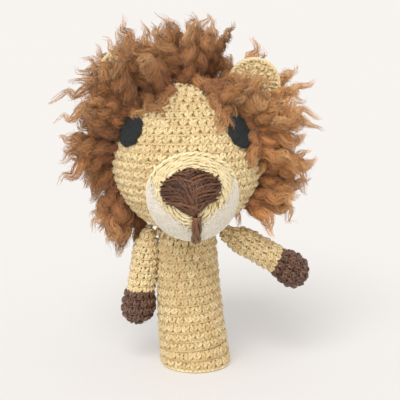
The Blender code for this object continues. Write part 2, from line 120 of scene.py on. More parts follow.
class Fabric:
    """Gathers strands of yarn and plain sheets, and makes one mesh object of them."""

    def __init__(self):
        self.points = []
        self.loops = []
        self.sizes = []
        self.slots = []
        self.yarn_uv = []
        self.cell_uv = []
        self.cells = []
        self.tints = []
        self.alongs = []
        self.point_count = 0
        self.cell_count = 0

    def add_faces(self, faces, yarn_uv, cell_uv, cells, slot):
        """Faces (f, corners) with UVs for each corner; cells says which cell of the bake each is in."""
        corners = faces.shape[1]
        self.loops.append((faces + self.point_count).ravel())
        self.sizes.append(np.full(len(faces), corners))
        self.slots.append(np.full(len(faces), slot))
        self.yarn_uv.append(yarn_uv.reshape(-1, 2))
        self.cell_uv.append(cell_uv.reshape(-1, 2))
        self.cells.append(np.repeat(cells + self.cell_count, corners))

    def add_points(self, points, tint, along, cells):
        """Close a batch: its vertices, with a tint and a place along the yarn for each."""
        self.points.append(points.reshape(-1, 3))
        self.tints.append(np.asarray(tint, float).ravel())
        self.alongs.append(np.asarray(along, float).ravel())
        self.point_count += self.points[-1].shape[0]
        self.cell_count += cells

    def strands(self, paths, radii, up, sides=8, tint=0.5, slot=0, along=None):
        """Strands along paths (n, k, 3) with radii (n, k); up is any direction they don't run along."""
        n, k = paths.shape[:2]
        tangent = unit(np.gradient(paths, axis=1))
        across = unit(np.cross(tangent, np.broadcast_to(up, paths.shape)))
        over = np.cross(across, tangent)
        turn = TURN * np.arange(sides) / sides
        ring = np.cos(turn)[:, None] * across[:, :, None] + np.sin(turn)[:, None] * over[:, :, None]
        radii = np.broadcast_to(radii, (n, k))
        points = paths[:, :, None] + radii[:, :, None, None] * ring

        steps = np.linalg.norm(np.diff(paths, axis=1), axis=2)
        length = np.concatenate([np.zeros((n, 1)), np.cumsum(steps, axis=1)], axis=1) / MM
        grid = np.arange(n * k * sides).reshape(n, k, sides)
        after = np.roll(grid, -1, axis=2)
        faces = np.stack([grid[:, :-1], grid[:, 1:], after[:, 1:], after[:, :-1]], axis=-1)
        shape = (n, k - 1, sides)
        u = np.broadcast_to(np.arange(sides) / sides, shape)
        low = np.broadcast_to(length[:, :-1, None], shape)
        high = np.broadcast_to(length[:, 1:, None], shape)
        share = np.broadcast_to((np.arange(k - 1) / (k - 1))[:, None], shape)
        yarn = corner_values((u, low), (u + 1.0 / sides, high))
        cell = corner_values((u, share), (u + 1.0 / sides, share + 1.0 / (k - 1)))
        ids = np.broadcast_to(np.arange(n)[:, None, None], shape).ravel()
        self.add_faces(faces.reshape(-1, 4), yarn, cell, ids, slot)
        for rim, end in ((grid[:, 0], 0.0), (grid[:, -1, ::-1], 1.0)):
            cap = np.stack([turn / TURN, np.full(sides, end)], -1)
            cap = np.broadcast_to(cap, (n, sides, 2))
            self.add_faces(rim, cap, cap, np.arange(n), slot)

        tint = np.asarray(tint, float)
        if tint.ndim == 1:
            tint = tint[:, None]
        tint = np.broadcast_to(tint, (n, k))
        along = np.broadcast_to(np.linspace(0.0, 1.0, k) if along is None else along, (n, k))
        self.add_points(points, np.repeat(tint, sides, 1), np.repeat(along, sides, 1), n)

    def sheet(self, points, tint=0.5, slot=0):
        """A quad sheet over points (a, b, 3), facing the way that a-steps cross b-steps."""
        a, b = points.shape[:2]
        grid = np.arange(a * b).reshape(a, b)
        faces = np.stack([grid[:-1, :-1], grid[1:, :-1], grid[1:, 1:], grid[:-1, 1:]], axis=-1)
        u, v = np.meshgrid(np.arange(a - 1) / (a - 1), np.arange(b - 1) / (b - 1), indexing="ij")
        uv = np.roll(corner_values((u, v), (u + 1.0 / (a - 1), v + 1.0 / (b - 1)))[:, :, ::-1], 1, 2)
        cells = np.zeros(faces.shape[0] * faces.shape[1], int)
        self.add_faces(faces.reshape(-1, 4), uv, uv, cells, slot)
        tint = np.broadcast_to(tint, (a, b))
        self.add_points(points, tint, np.zeros((a, b)), 1)

    def make(self, name, materials):
        """The gathered geometry as a new smooth-shaded object."""
        points = np.concatenate(self.points)
        loops = np.concatenate(self.loops)
        sizes = np.concatenate(self.sizes)
        starts = np.concatenate([[0], np.cumsum(sizes)[:-1]])
        mesh = bpy.data.meshes.new(name)
        mesh.vertices.add(len(points))
        mesh.vertices.foreach_set("co", points.astype(np.float32).ravel())
        mesh.loops.add(len(loops))
        mesh.loops.foreach_set("vertex_index", loops.astype(np.int32))
        mesh.polygons.add(len(sizes))
        mesh.polygons.foreach_set("loop_start", starts.astype(np.int32))
        mesh.polygons.foreach_set("material_index", np.concatenate(self.slots).astype(np.int32))
        mesh.update(calc_edges=True)

        columns = math.ceil(math.sqrt(self.cell_count))
        cells = np.concatenate(self.cells)
        corner = np.stack([cells % columns, cells // columns], axis=1)
        inside = CELL_MARGIN + (1.0 - 2.0 * CELL_MARGIN) * np.concatenate(self.cell_uv)
        atlas = (corner + inside) / columns
        for layer, values in (("yarn", np.concatenate(self.yarn_uv)), ("OFBake", atlas)):
            uv_layer = mesh.uv_layers.new(name=layer)
            uv_layer.data.foreach_set("uv", values.astype(np.float32).ravel())
        for label, values in (("tint", self.tints), ("along", self.alongs)):
            attribute = mesh.attributes.new(label, "FLOAT", "POINT")
            attribute.data.foreach_set("value", np.concatenate(values).astype(np.float32))
        mesh.shade_smooth()
        for made in materials:
            mesh.materials.append(made)
        piece = bpy.data.objects.new(name, mesh)
        bpy.context.scene.collection.objects.link(piece)
        return piece


# Materials

class Nodes:
    """A short way to write a node tree."""

    def __init__(self, made):
        made.use_nodes = True
        self.tree = made.node_tree
        self.tree.nodes.clear()

    def add(self, kind, values=None, **settings):
        node = self.tree.nodes.new(kind)
        for key, value in settings.items():
            setattr(node, key, value)
        for socket, value in (values or {}).items():
            if isinstance(value, bpy.types.NodeSocket):
                self.tree.links.new(value, node.inputs[socket])
            else:
                node.inputs[socket].default_value = value
        return node

    def math(self, operation, first, second=0.0, third=0.0):
        node = self.add("ShaderNodeMath", {0: first, 1: second, 2: third}, operation=operation)
        return node.outputs[0]

    def mix(self, share, first, second):
        node = self.add("ShaderNodeMix", {0: share}, data_type="RGBA")
        for socket, value in ((6, first), (7, second)):
            if isinstance(value, bpy.types.NodeSocket):
                self.tree.links.new(value, node.inputs[socket])
            else:
                node.inputs[socket].default_value = (*value, 1.0)
        return node.outputs[2]

    def value(self, name):
        return self.add("ShaderNodeAttribute", attribute_name=name).outputs["Fac"]

    def noise(self, scale, detail=2.0):
        place = self.add("ShaderNodeTexCoord").outputs["Object"]
        made = self.add("ShaderNodeTexNoise", {"Vector": place, "Scale": scale, "Detail": detail})
        return made.outputs["Fac"]

    def finish(self, colour, roughness, bump=None, strength=0.5, distance=0.1 * MM, sheen=0.3,
               specular=0.5):
        shader = self.add("ShaderNodeBsdfPrincipled", {
            "Base Color": colour,
            "Roughness": roughness,
            "Specular IOR Level": specular,
            "Sheen Weight": sheen,
            "Sheen Roughness": 0.5,
        })
        if bump is not None:
            node = self.add("ShaderNodeBump", {"Strength": strength, "Distance": distance, "Height": bump})
            self.tree.links.new(node.outputs[0], shader.inputs["Normal"])
        output = self.add("ShaderNodeOutputMaterial")
        self.tree.links.new(shader.outputs[0], output.inputs[0])
        return shader


YARN_THREADS = 3
YARN_PITCH = 1.6               # millimetres from one thread's groove to its next
YARN_ROUGHNESS = 0.34


def yarn_material(name, dark, light, groove_shade=0.35, sheen=0.2, specular=0.5):
    """Twisted yarn: the tint picks a shade, and the grooves between its threads along the strand are
    darkened as painted shade.
    """
    made = bpy.data.materials.new(name)
    nodes = Nodes(made)
    uv = nodes.add("ShaderNodeUVMap", uv_map="yarn").outputs[0]
    parts = nodes.add("ShaderNodeSeparateXYZ", {0: uv}).outputs
    around = nodes.math("MULTIPLY", parts[0], YARN_THREADS)
    twist = nodes.math("MULTIPLY_ADD", parts[1], 1.0 / YARN_PITCH, around)
    wave = nodes.math("SINE", nodes.math("MULTIPLY", twist, TURN))
    ridge = nodes.math("MULTIPLY_ADD", wave, 0.5, 0.5)
    fibre = nodes.noise(2600.0)
    shade = nodes.math("ADD", nodes.value("tint"), nodes.math("MULTIPLY_ADD", fibre, 0.5, -0.25))
    base = nodes.mix(shade, dark, light)
    # painted shade: the grooves between the threads are mixed towards a deep shade of the dark colour
    depth = nodes.math("MULTIPLY", nodes.math("SUBTRACT", 1.0, ridge), groove_shade)
    shaded_base = nodes.mix(depth, base, tuple(0.45 * c for c in dark))
    height = nodes.math("ADD", ridge, nodes.math("MULTIPLY", fibre, 0.5))
    nodes.finish(shaded_base, YARN_ROUGHNESS, height, strength=0.8, distance=0.12 * MM, sheen=sheen,
                 specular=specular)
    return made


def fuzz_material(name, colour, glow=0.0):
    """Loose fibres; glow stands for the light that passes through pale ones."""
    made = bpy.data.materials.new(name)
    nodes = Nodes(made)
    shade = nodes.mix(nodes.value("tint"), tuple(0.8 * c for c in colour), colour)
    shader = nodes.finish(shade, 0.7, sheen=0.0, specular=0.3)
    shader.inputs["Emission Color"].default_value = (*colour, 1.0)
    shader.inputs["Emission Strength"].default_value = glow
    return made


def plain_material(name, dark, light, scale=900.0, roughness=0.85, sheen=0.3):
    """Felt, the liners (in painted shade) and fibre: two shades in a fine noise."""
    made = bpy.data.materials.new(name)
    nodes = Nodes(made)
    noise = nodes.noise(scale, 4.0)
    colour = nodes.mix(noise, dark, light)
    nodes.finish(colour, roughness, noise, distance=0.2 * MM, sheen=sheen)
    return made


def mane_material(name):
    """Brushed strands: painted shade at the dark root, caramel, then painted light at the fair tip, with a
    shade of its own each.
    """
    made = bpy.data.materials.new(name)
    nodes = Nodes(made)
    along = nodes.value("along")
    ramp = nodes.add("ShaderNodeValToRGB", {0: along})
    elements = ramp.color_ramp.elements
    for element, (position, colour) in zip(elements, (MANE_ROOT_SHADE_TIP_LIGHT[0], MANE_ROOT_SHADE_TIP_LIGHT[-1])):
        element.position = position
        element.color = (*colour, 1.0)
    for position, colour in MANE_ROOT_SHADE_TIP_LIGHT[1:-1]:
        elements.new(position).color = (*colour, 1.0)
    # the tint runs from a deepened shade to the ramp's own; it carries random tone and the painted light
    # and shade set for each lock and clump
    deep = nodes.add("ShaderNodeMix", {0: 1.0, 6: ramp.outputs[0]}, data_type="RGBA",
                     blend_type="MULTIPLY")
    deep.inputs[7].default_value = (*MANE_DEEPEN, 1.0)
    shade = nodes.mix(nodes.value("tint"), deep.outputs[2], ramp.outputs[0])
    nodes.finish(shade, 0.5, sheen=0.25, specular=0.35)
    return made


# Colours, linear

YELLOW_DARK = (0.66, 0.45, 0.19)
YELLOW_LIGHT = (0.95, 0.79, 0.46)
MUZZLE_DARK = (0.80, 0.62, 0.31)
MUZZLE_LIGHT = (0.98, 0.87, 0.56)
WHITE_LIGHT = (0.97, 0.91, 0.80)
WHITE_GLOW = 0.052
BROWN_DARK = (0.065, 0.028, 0.016)
BROWN_LIGHT = (0.24, 0.115, 0.070)
NOSE_DARK = (0.055, 0.022, 0.011)
NOSE_LIGHT = (0.27, 0.118, 0.056)
# painted shade: the liners are darker than their yarn, for the shade seen in the gaps between stitches
SHADE_LINER_DARK = (0.48, 0.32, 0.13)
SHADE_LINER_LIGHT = (0.60, 0.42, 0.19)
BROWN_SHADE_LINER_DARK = (0.045, 0.019, 0.010)
BROWN_SHADE_LINER_LIGHT = (0.085, 0.036, 0.020)
FELT_DARK = (0.010, 0.012, 0.013)
FELT_LIGHT = (0.026, 0.029, 0.031)
FIBRE_DARK = (0.78, 0.76, 0.72)
FIBRE_LIGHT = (0.90, 0.89, 0.86)
# painted shade and light: the strands darken towards the root and grow fair towards the tip
MANE_ROOT_SHADE_TIP_LIGHT = (
    (0.0, (0.34, 0.130, 0.050)),
    (0.25, (0.56, 0.235, 0.076)),
    (0.65, (0.72, 0.345, 0.115)),
    (1.0, (0.84, 0.48, 0.20)),
)
MANE_DEEPEN = (0.46, 0.37, 0.34)

yellow_yarn = yarn_material("yellow_yarn", YELLOW_DARK, YELLOW_LIGHT)
muzzle_yarn = yarn_material("muzzle_yarn", MUZZLE_DARK, MUZZLE_LIGHT, groove_shade=0.15)
nose_yarn = yarn_material("nose_yarn", NOSE_DARK, NOSE_LIGHT, groove_shade=0.3, sheen=0.0, specular=0.4)
paw_yarn = yarn_material("paw_yarn", BROWN_DARK, BROWN_LIGHT, groove_shade=0.3, sheen=0.05)
yellow_fuzz = fuzz_material("yellow_fuzz", YELLOW_LIGHT)
white_fuzz = fuzz_material("white_fuzz", WHITE_LIGHT, WHITE_GLOW)
brown_fuzz = fuzz_material("brown_fuzz", BROWN_LIGHT)
felt_fuzz = fuzz_material("felt_fuzz", FELT_LIGHT)
yellow_shade_liner = plain_material("yellow_shade_liner", SHADE_LINER_DARK, SHADE_LINER_LIGHT)
brown_shade_liner = plain_material("brown_shade_liner", BROWN_SHADE_LINER_DARK, BROWN_SHADE_LINER_LIGHT)
felt = plain_material("eye_felt", FELT_DARK, FELT_LIGHT, scale=1500.0, roughness=0.9, sheen=0.05)
fibre_fill = plain_material("fibre_fill", FIBRE_DARK, FIBRE_LIGHT, scale=700.0)
mane_yarn = mane_material("mane_yarn")

# A crochet piece's slots: 0 its yarn, 1 the liner in painted shade, 2 the stray fibres
YELLOW_CROCHET = [yellow_yarn, yellow_shade_liner, yellow_fuzz]
MUZZLE_CROCHET = [muzzle_yarn, yellow_shade_liner, yellow_fuzz]
BROWN_CROCHET = [paw_yarn, brown_shade_liner, brown_fuzz]


# Crochet

PLIES = 2
PLY_OFFSET = 0.46              # of a yarn's radius, from its centre to each ply's
PLY_GIRTH = 0.64
LEG_YARN = 0.27                # a crochet leg's radius, as a share of its stitch's width
LEG_LEAN = 0.12                # how far a stitch leans the way it is worked, as a share of its width
BAR_YARN = 0.48                # a back bar's radius, as a share of its round's height
BAR_DIVE = 0.10 * MM
BAR_WANDER = 0.02
BAR_TURNS = 0.5
FIBRE_LENGTH = 2.2 * MM
FIBRE_RADIUS = 0.03 * MM


class Turned:
    """A turned surface: a wall line of (radius, height), walked from s = 0 and set in the world."""

    def __init__(self, line, to_world):
        line = np.asarray(line, float)
        self.radii, self.heights = line[:, 0], line[:, 1]
        steps = np.hypot(np.diff(self.radii), np.diff(self.heights))
        self.marks = np.concatenate([[0.0], np.cumsum(steps)])
        self.length = self.marks[-1]
        self.to_world = to_world

    def radius(self, s):
        return np.interp(s, self.marks, self.radii)

    def height(self, s):
        return np.interp(s, self.marks, self.heights)

    def __call__(self, turn, s, out):
        """The point at an angle round the axis, s along the wall and out beyond it."""
        turn, s, out = np.broadcast_arrays(turn, s, out)
        ahead = np.minimum(s + 0.3 * MM, self.length)
        behind = np.maximum(ahead - 0.6 * MM, 0.0)
        rise = self.height(ahead) - self.height(behind)
        spread = self.radius(ahead) - self.radius(behind)
        size = np.maximum(np.hypot(rise, spread), 1e-9)
        radius = self.radius(s) + out * rise / size
        height = self.height(s) - out * spread / size
        # past an end, the wall line runs straight on
        beyond = s - np.clip(s, 0.0, self.length)
        radius = radius + beyond * spread / size
        height = height + beyond * rise / size
        return self.to_world(radius * np.cos(turn), radius * np.sin(turn), height)

    def up(self, turn, s, out):
        return self(turn, s, out + 0.05 * MM) - self(turn, s, out)


def shades(rng, count, middle_shade=0.6, spread=0.16):
    """A tint for each of count strands."""
    return np.clip(rng.normal(middle_shade, spread, count), 0.0, 1.0)


def plied(fabric, paths, radii, up, rng, tint, turns=0.8):
    """Yarn of twisted plies along paths (n, k, 3)."""
    n, k = paths.shape[:2]
    tangent = unit(np.gradient(paths, axis=1))
    across = unit(np.cross(tangent, np.broadcast_to(up, paths.shape)))
    over = np.cross(across, tangent)
    radii = np.broadcast_to(radii, (n, k))
    first = rng.uniform(0.0, TURN, (n, 1))
    for ply in range(PLIES):
        twist = first + TURN * (ply / PLIES + turns * np.linspace(0.0, 1.0, k))
        aside = (PLY_OFFSET * radii)[..., None] * (np.cos(twist)[..., None] * across
                                                   + np.sin(twist)[..., None] * over)
        fabric.strands(paths + aside, PLY_GIRTH * radii, up, 6, tint)


def on_wall(wall, turn, s, out):
    """Paths on a turned surface, and the direction out of it along them."""
    return wall(turn, s, out), wall.up(turn, s, out)


def stitch_rounds(wall, rows, row_height, width, rng, fewest=6, spiral=1.0):
    """Where the stitches go: (angle, s, angle step) of each, in rounds that climb as one spiral."""
    found = []
    for row in range(rows):
        s = (row + 0.5) * row_height
        count = max(fewest, round(TURN * wall.radius(s) / width))
        turn = TURN * (np.arange(count) + 0.5 * (row % 2) + rng.uniform(-0.05, 0.05)) / count
        rise = row_height * spiral * ((turn / TURN) % 1.0 - 0.5)
        found.append(np.stack([turn, s + rise, np.full(count, TURN / count)], axis=1))
    return np.concatenate(found)


def single_crochet(fabric, wall, rounds, row_height, rng, proud=0.15 * MM, middle_shade=0.6):
    """Each stitch is a V of two plump legs, above a bar that lies back in the gap between rounds and is
    tinted darker as painted shade.
    """
    turn, s, step = (rounds[:, i] for i in range(3))
    count = len(turn)
    width = np.maximum(step * wall.radius(s), 1.0 * MM)
    t = np.linspace(0.0, 1.0, 9)
    arch = np.sin(math.pi * t)
    shade = rng.normal(0.0, 0.10, count)
    for side in (-1.0, 1.0):
        drift = rng.normal(0.0, 0.04, (count, 2))
        slant = 1.0 + rng.normal(0.0, 0.15, (count, 1))
        a = side * (0.09 + 0.25 * t * slant) + LEG_LEAN * (t - 0.5) + drift[:, :1]
        b = row_height * (-0.44 + 0.86 * t + drift[:, 1:])
        plump = 1.0 + rng.normal(0.0, 0.08, (count, 1))
        radius = np.minimum(width, 1.05 * row_height)[:, None] * LEG_YARN * plump * (0.68 + 0.32 * arch)
        dive = 0.95 * MM * (1.0 - arch ** 0.45)
        out = proud - radius.max(1, keepdims=True) - dive + rng.normal(0.0, 0.07 * MM, (count, 1))
        angle = turn[:, None] + a * step[:, None]
        spot = s[:, None] + b
        tint = np.clip(shade + shades(rng, count, middle_shade, 0.12), 0.0, 1.0)
        paths, up = on_wall(wall, angle, spot, out)
        plied(fabric, paths, radius * 1.06, up, rng, tint, -side * 0.7)

    angle = turn[:, None] + (1.2 * (t - 0.5)) * step[:, None]
    spot = s[:, None] + row_height * (-0.46 + 0.10 * (t - 0.5))
    radius = 0.17 * row_height * (0.8 + 0.2 * arch) * np.ones((count, 1))
    out = proud - 0.55 * MM - radius - 0.25 * MM * (1.0 - arch)
    paths, up = on_wall(wall, angle, spot, out)
    # painted shade: the bar's tint is 0.3 below the legs', for its place back in the gap
    fabric.strands(paths, radius, up, 6, np.clip(shade + middle_shade - 0.3, 0.0, 1.0))


def back_bars(fabric, wall, rounds, row_height, rng):
    """The wrong side of a round: a bar lying along it for each stitch, with its ends tucked in."""
    turn, s, step = (rounds[:, i] for i in range(3))
    count = len(turn)
    t = np.linspace(0.0, 1.0, 9)
    arch = np.sin(math.pi * t)
    drift = rng.normal(0.0, BAR_WANDER, (count, 2))
    angle = turn[:, None] + (1.12 * (t - 0.5) + drift[:, :1]) * step[:, None]
    spot = s[:, None] + row_height * (0.16 * (t - 0.5) + drift[:, 1:])
    radius = row_height * BAR_YARN * (0.7 + 0.3 * arch) * (1.0 + rng.normal(0.0, 0.06, (count, 1)))
    out = -radius.max(1, keepdims=True) - BAR_DIVE * (1.0 - arch ** 0.6)
    paths, up = on_wall(wall, angle, spot, out)
    plied(fabric, paths, radius, up, rng, shades(rng, count), BAR_TURNS)


def liner(fabric, wall, start, end, depth, slot=1, around=48, along=24):
    """The closed ground under the stitches; in slot 1 it takes the liner's darker colour, painted shade for
    the gaps.
    """
    turn = np.linspace(0.0, TURN, around)[:, None]
    s = np.linspace(start, end, along)[None, :]
    fabric.sheet(wall(turn, s, np.full((around, along), -depth)), 0.5, slot)


def fuzz(fabric, wall, count, rng, low, high):
    """Stray fibres that stand off the yarn and curl back."""
    t = np.linspace(0.0, 1.0, 5)
    turn = rng.uniform(0.0, TURN, (count, 1))
    s = rng.uniform(low, high, (count, 1))
    heading = rng.uniform(0.0, TURN, (count, 1))
    curl = rng.normal(0.0, 1.4, (count, 1))
    reach = FIBRE_LENGTH * rng.uniform(0.4, 1.0, (count, 1)) * t
    side = reach * np.cos(heading + curl * t)
    rise = reach * np.sin(heading + curl * t)
    radius = np.maximum(wall.radius(s), 1.0 * MM)
    out = -0.3 * MM + 0.32 * FIBRE_LENGTH * np.sin(0.75 * math.pi * t) * rng.uniform(0.3, 1.0, (count, 1))
    paths, up = on_wall(wall, turn + side / radius, s + rise, out)
    fabric.strands(paths, FIBRE_RADIUS * (1.0 - 0.5 * t), up, 3, shades(rng, count, 0.8), 2)


def finish_piece(fabric, name, materials, node=None, body=None):
    """The fabric as a piece that takes the place of a node of the frame and rides a body."""
    piece = fabric.make(name, materials)
    if node:
        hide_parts(node)
    if body:
        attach(piece, body)
    return piece


# Finger sleeve

SLEEVE_TAPER = 0.82            # the top's radius as a share of the bottom's
SLEEVE_ROWS = 14
SLEEVE_STITCHES = 24
ROW_TILT = 0.07                # the rounds rise towards +X, square to the sleeve's lean
SLEEVE_WALL = 2.4 * MM
SLEEVE_LEAN = HEAD.x - SLEEVE_X
HEM_CLEAR = 0.85 * MM          # the lowest round stays this far above the floor
HEM_YARN = 0.62 * MM
HEM_HEIGHT = 0.78 * MM


def on_sleeve(x, y, z):
    """The sleeve's axis leans to one side quickly near the hem, then runs nearly straight up."""
    left = 1.0 - np.clip(z / SLEEVE_HEIGHT, 0.0, 1.0)
    centre = SLEEVE_LEAN * (1.0 - left ** 2)
    # the rounds lie level at both ends
    tilt = ROW_TILT * smooth(z / (8.0 * MM)) * smooth((52.0 * MM - z) / (8.0 * MM))
    return np.stack([SLEEVE_X + centre + x, SLEEVE_Y + y, z + tilt * x], axis=-1)


def sleeve_line(low, high):
    """The sleeve's wall between two heights: it narrows evenly."""
    heights = np.linspace(low, high, 60)
    share = heights / SLEEVE_HEIGHT
    return np.stack([SLEEVE_RADIUS * (1.0 + (SLEEVE_TAPER - 1.0) * share), heights], axis=1)


def make_sleeve():
    """The tube the finger goes into: its rounds, its ribbed inside and its hem."""
    rng = np.random.default_rng(11)
    fabric = Fabric()
    wall = Turned(sleeve_line(0.0, SLEEVE_HEIGHT), on_sleeve)
    row_height = (wall.length - HEM_CLEAR) / SLEEVE_ROWS
    rounds = []
    for row in range(SLEEVE_ROWS):
        s = HEM_CLEAR + (row + 0.5) * row_height
        turn = TURN * (np.arange(SLEEVE_STITCHES) + 0.35 * row) / SLEEVE_STITCHES
        climb = min(1.0, row / 2.0) * min(1.0, (SLEEVE_ROWS - 1 - row) / 2.0)
        rise = row_height * climb * ((turn / TURN) % 1.0 - 0.5)
        step = np.full(SLEEVE_STITCHES, TURN / SLEEVE_STITCHES)
        rounds.append(np.stack([turn, s + rise, step], axis=1))
    # painted shade: the sleeve's yarn is toned darker (0.45) than the head's (0.66)
    single_crochet(fabric, wall, np.concatenate(rounds), row_height, rng, middle_shade=0.45)
    liner(fabric, wall, 0.8 * MM, wall.length, 1.35 * MM)

    # the ribbed inside, seen from below
    turn = np.linspace(0.0, TURN, 49)[None, :]
    for row in range(SLEEVE_ROWS * 2):
        s = np.full((1, 1), (row + 0.5) * row_height / 2)
        ring = wall(turn, s, -SLEEVE_WALL + 0.7 * MM + 0.12 * MM * np.sin(turn * SLEEVE_STITCHES))
        fabric.strands(ring, 0.8 * MM, wall.up(turn, s, 0.0), 6, 0.45)

    # the hem: the foundation chain's loops, lying on their sides
    loops = 2 * SLEEVE_STITCHES
    t = np.linspace(0.0, 1.0, 7)
    start = TURN * np.arange(loops)[:, None] / loops
    angle = start + 1.25 * TURN / loops * (t - 0.5)
    arch = np.sin(math.pi * t)
    rise = HEM_HEIGHT + 0.25 * MM * (t - 0.5)
    out = -0.75 * MM - 0.5 * MM * (1.0 - arch)
    paths, up = on_wall(wall, angle, rise, out)
    fabric.strands(paths, HEM_YARN * (0.75 + 0.25 * arch), up, 8, shades(rng, loops, 0.7))
    fuzz(fabric, wall, 900, rng, 3.0 * MM, wall.length)
    piece = finish_piece(fabric, "sleeve_crochet", YELLOW_CROCHET, "body_sleeve")
    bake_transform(piece)


make_sleeve()


# Neck

NECK_STITCH = 2.8 * MM
NECK_WHIPS = 20
NECK_WHIP_HEIGHT = 2.2 * MM
NECK_WHIP_YARN = 0.55 * MM


def make_neck():
    """The rounds between the sleeve and the head, and the whip stitches over the seam."""
    rng = np.random.default_rng(12)
    fabric = Fabric()
    seam_low, seam_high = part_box("neck_seam_yarn")
    seam_radius = (seam_high.y - seam_low.y) / 2
    top = HEAD.z - math.sqrt(HEAD_RADIUS ** 2 - seam_radius ** 2) + 0.8 * MM
    bottom = SLEEVE_HEIGHT - 1.2 * MM
    radius = SLEEVE_RADIUS * SLEEVE_TAPER - 0.2 * MM

    def to_world(x, y, z):
        return np.stack([HEAD.x + x, SLEEVE_Y + y, z], axis=-1)

    line = [(radius + (seam_radius - 0.4 * MM - radius) * t, bottom + (top - bottom) * t)
            for t in np.linspace(0.0, 1.0, 20)]
    wall = Turned(line, to_world)
    row_height = wall.length / 2
    rounds = stitch_rounds(wall, 2, row_height, NECK_STITCH, rng, spiral=0.3)
    single_crochet(fabric, wall, rounds, row_height, rng)
    liner(fabric, wall, 0.0, wall.length, 1.5 * MM)
    piece = finish_piece(fabric, "neck_crochet", [yellow_yarn, yellow_shade_liner])
    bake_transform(piece)

    # whip stitches slanting over the seam
    fabric = Fabric()
    t = np.linspace(0.0, 1.0, 8)
    turn = TURN * np.arange(NECK_WHIPS)[:, None] / NECK_WHIPS + 0.16 * (t - 0.5)
    height = middle("neck_seam_yarn").z + NECK_WHIP_HEIGHT * (t - 0.5)
    out = seam_radius + 0.1 * MM + 0.5 * MM * np.sin(math.pi * t)
    paths = np.stack([HEAD.x + out * np.cos(turn), HEAD.y + out * np.sin(turn),
                      np.broadcast_to(height, turn.shape)], axis=-1)
    up = paths - np.array([HEAD.x, HEAD.y, 0.0])
    up[..., 2] = 0.0
    fabric.strands(paths, NECK_WHIP_YARN, up, 8, shades(rng, NECK_WHIPS))
    finish_piece(fabric, "neck_seam_stitches", [yellow_yarn], "neck_seam_yarn", "neck_seam")


make_neck()


# Head and muzzle

HEAD_ROW = 3.15 * MM
HEAD_STITCH = 3.25 * MM
MUZZLE_ROW = 1.42 * MM
MUZZLE_BAR = 4.2 * MM


def on_head(x, y, z):
    """The head's own axis is upright, through its middle."""
    return np.stack([HEAD.x + x, HEAD.y + y, HEAD.z + z], axis=-1)


def on_muzzle(x, y, z):
    """The muzzle's own axis is the way it faces, -Y."""
    return np.stack([MUZZLE.x + x, MUZZLE.y - z, MUZZLE.z + y], axis=-1)


def ball_line(radius, low, high):
    """A circle's arc from one latitude to another."""
    angle = np.radians(np.linspace(low, high, 90))
    return np.stack([radius * np.cos(angle), radius * np.sin(angle)], axis=1)


def make_head():
    """A ball worked round the upright axis, open under the neck."""
    rng = np.random.default_rng(13)
    fabric = Fabric()
    wall = Turned(ball_line(HEAD_RADIUS, -72.0, 88.0), on_head)
    rows = int(wall.length / HEAD_ROW)
    row_height = wall.length / rows
    rounds = stitch_rounds(wall, rows, row_height, HEAD_STITCH, rng)
    # painted light: the head's yarn is toned lighter (0.66) than the sleeve's (0.45) and the neck's (0.6)
    single_crochet(fabric, wall, rounds, row_height, rng, middle_shade=0.66)
    liner(fabric, wall, 0.0, wall.length, 1.15 * MM, around=64, along=40)
    fuzz(fabric, wall, 1500, rng, 0.1 * wall.length, wall.length)
    finish_piece(fabric, "head_crochet", YELLOW_CROCHET, "head_shell", "head")


def make_muzzle():
    """A ball worked round the way it faces, wrong side out, from the head to its front."""
    rng = np.random.default_rng(14)
    fabric = Fabric()
    wall = Turned(ball_line(MUZZLE_RADIUS, -18.0, 88.0), on_muzzle)
    rows = int(wall.length / MUZZLE_ROW)
    row_height = wall.length / rows
    rounds = stitch_rounds(wall, rows, row_height, MUZZLE_BAR, rng)
    back_bars(fabric, wall, rounds, row_height, rng)
    liner(fabric, wall, 0.0, wall.length, 1.1 * MM, around=48, along=30)
    fuzz(fabric, wall, 500, rng, 0.2 * wall.length, wall.length)
    finish_piece(fabric, "muzzle_crochet", MUZZLE_CROCHET, "muzzle_cup", "head")


make_head()
make_muzzle()


# Arms

ARM_ROOT_RADIUS = 2.9 * MM
ARM_TAPER = 6.5 * MM           # length over which the arm grows to its full radius
ARM_ROOT = 1.2 * MM            # from the shoulder's pivot to where the arm begins to grow
ARM_ROW = 2.5 * MM
ARM_STITCH = 2.9 * MM
ARM_BOWS = {"right": -0.1 * MM, "left": 0.9 * MM}   # how far the middle bends outwards
# painted light and shade: the same yarn is toned lighter on the hanging right arm and darker on the raised
# left arm
ARM_LIGHT_AND_SHADE = {"right": 0.80, "left": 0.62}
ARM_RADIUS = 4.95 * MM
CUFF = 21.8 * MM               # from the shoulder's pivot to the paw
CUFF_RADIUS = 5.1 * MM
PAW_RADIUS = 6.0 * MM
PAW_TIP = 33.9 * MM
PAW_ROWS = 5
PAW_WIDEST = 0.45              # share of the paw's length
SHOULDER_WHIPS = 5
SHOULDER_WHIP_YARN = 0.5 * MM
FILL_START = 3.4 * MM
FILL_END = 30.6 * MM
FILL_DEPTH = 1.7 * MM


def arm_radius(along):
    """Radius of the arm from its rounded root at the pivot."""
    if along < ARM_ROOT:
        return ARM_ROOT_RADIUS * math.sqrt(max(0.0, 1.0 - ((ARM_ROOT - along) / ARM_ROOT_RADIUS) ** 2))
    grow = min(1.0, (along - ARM_ROOT) / ARM_TAPER)
    return ARM_ROOT_RADIUS + (ARM_RADIUS - ARM_ROOT_RADIUS) * math.sin(grow * math.pi / 2)


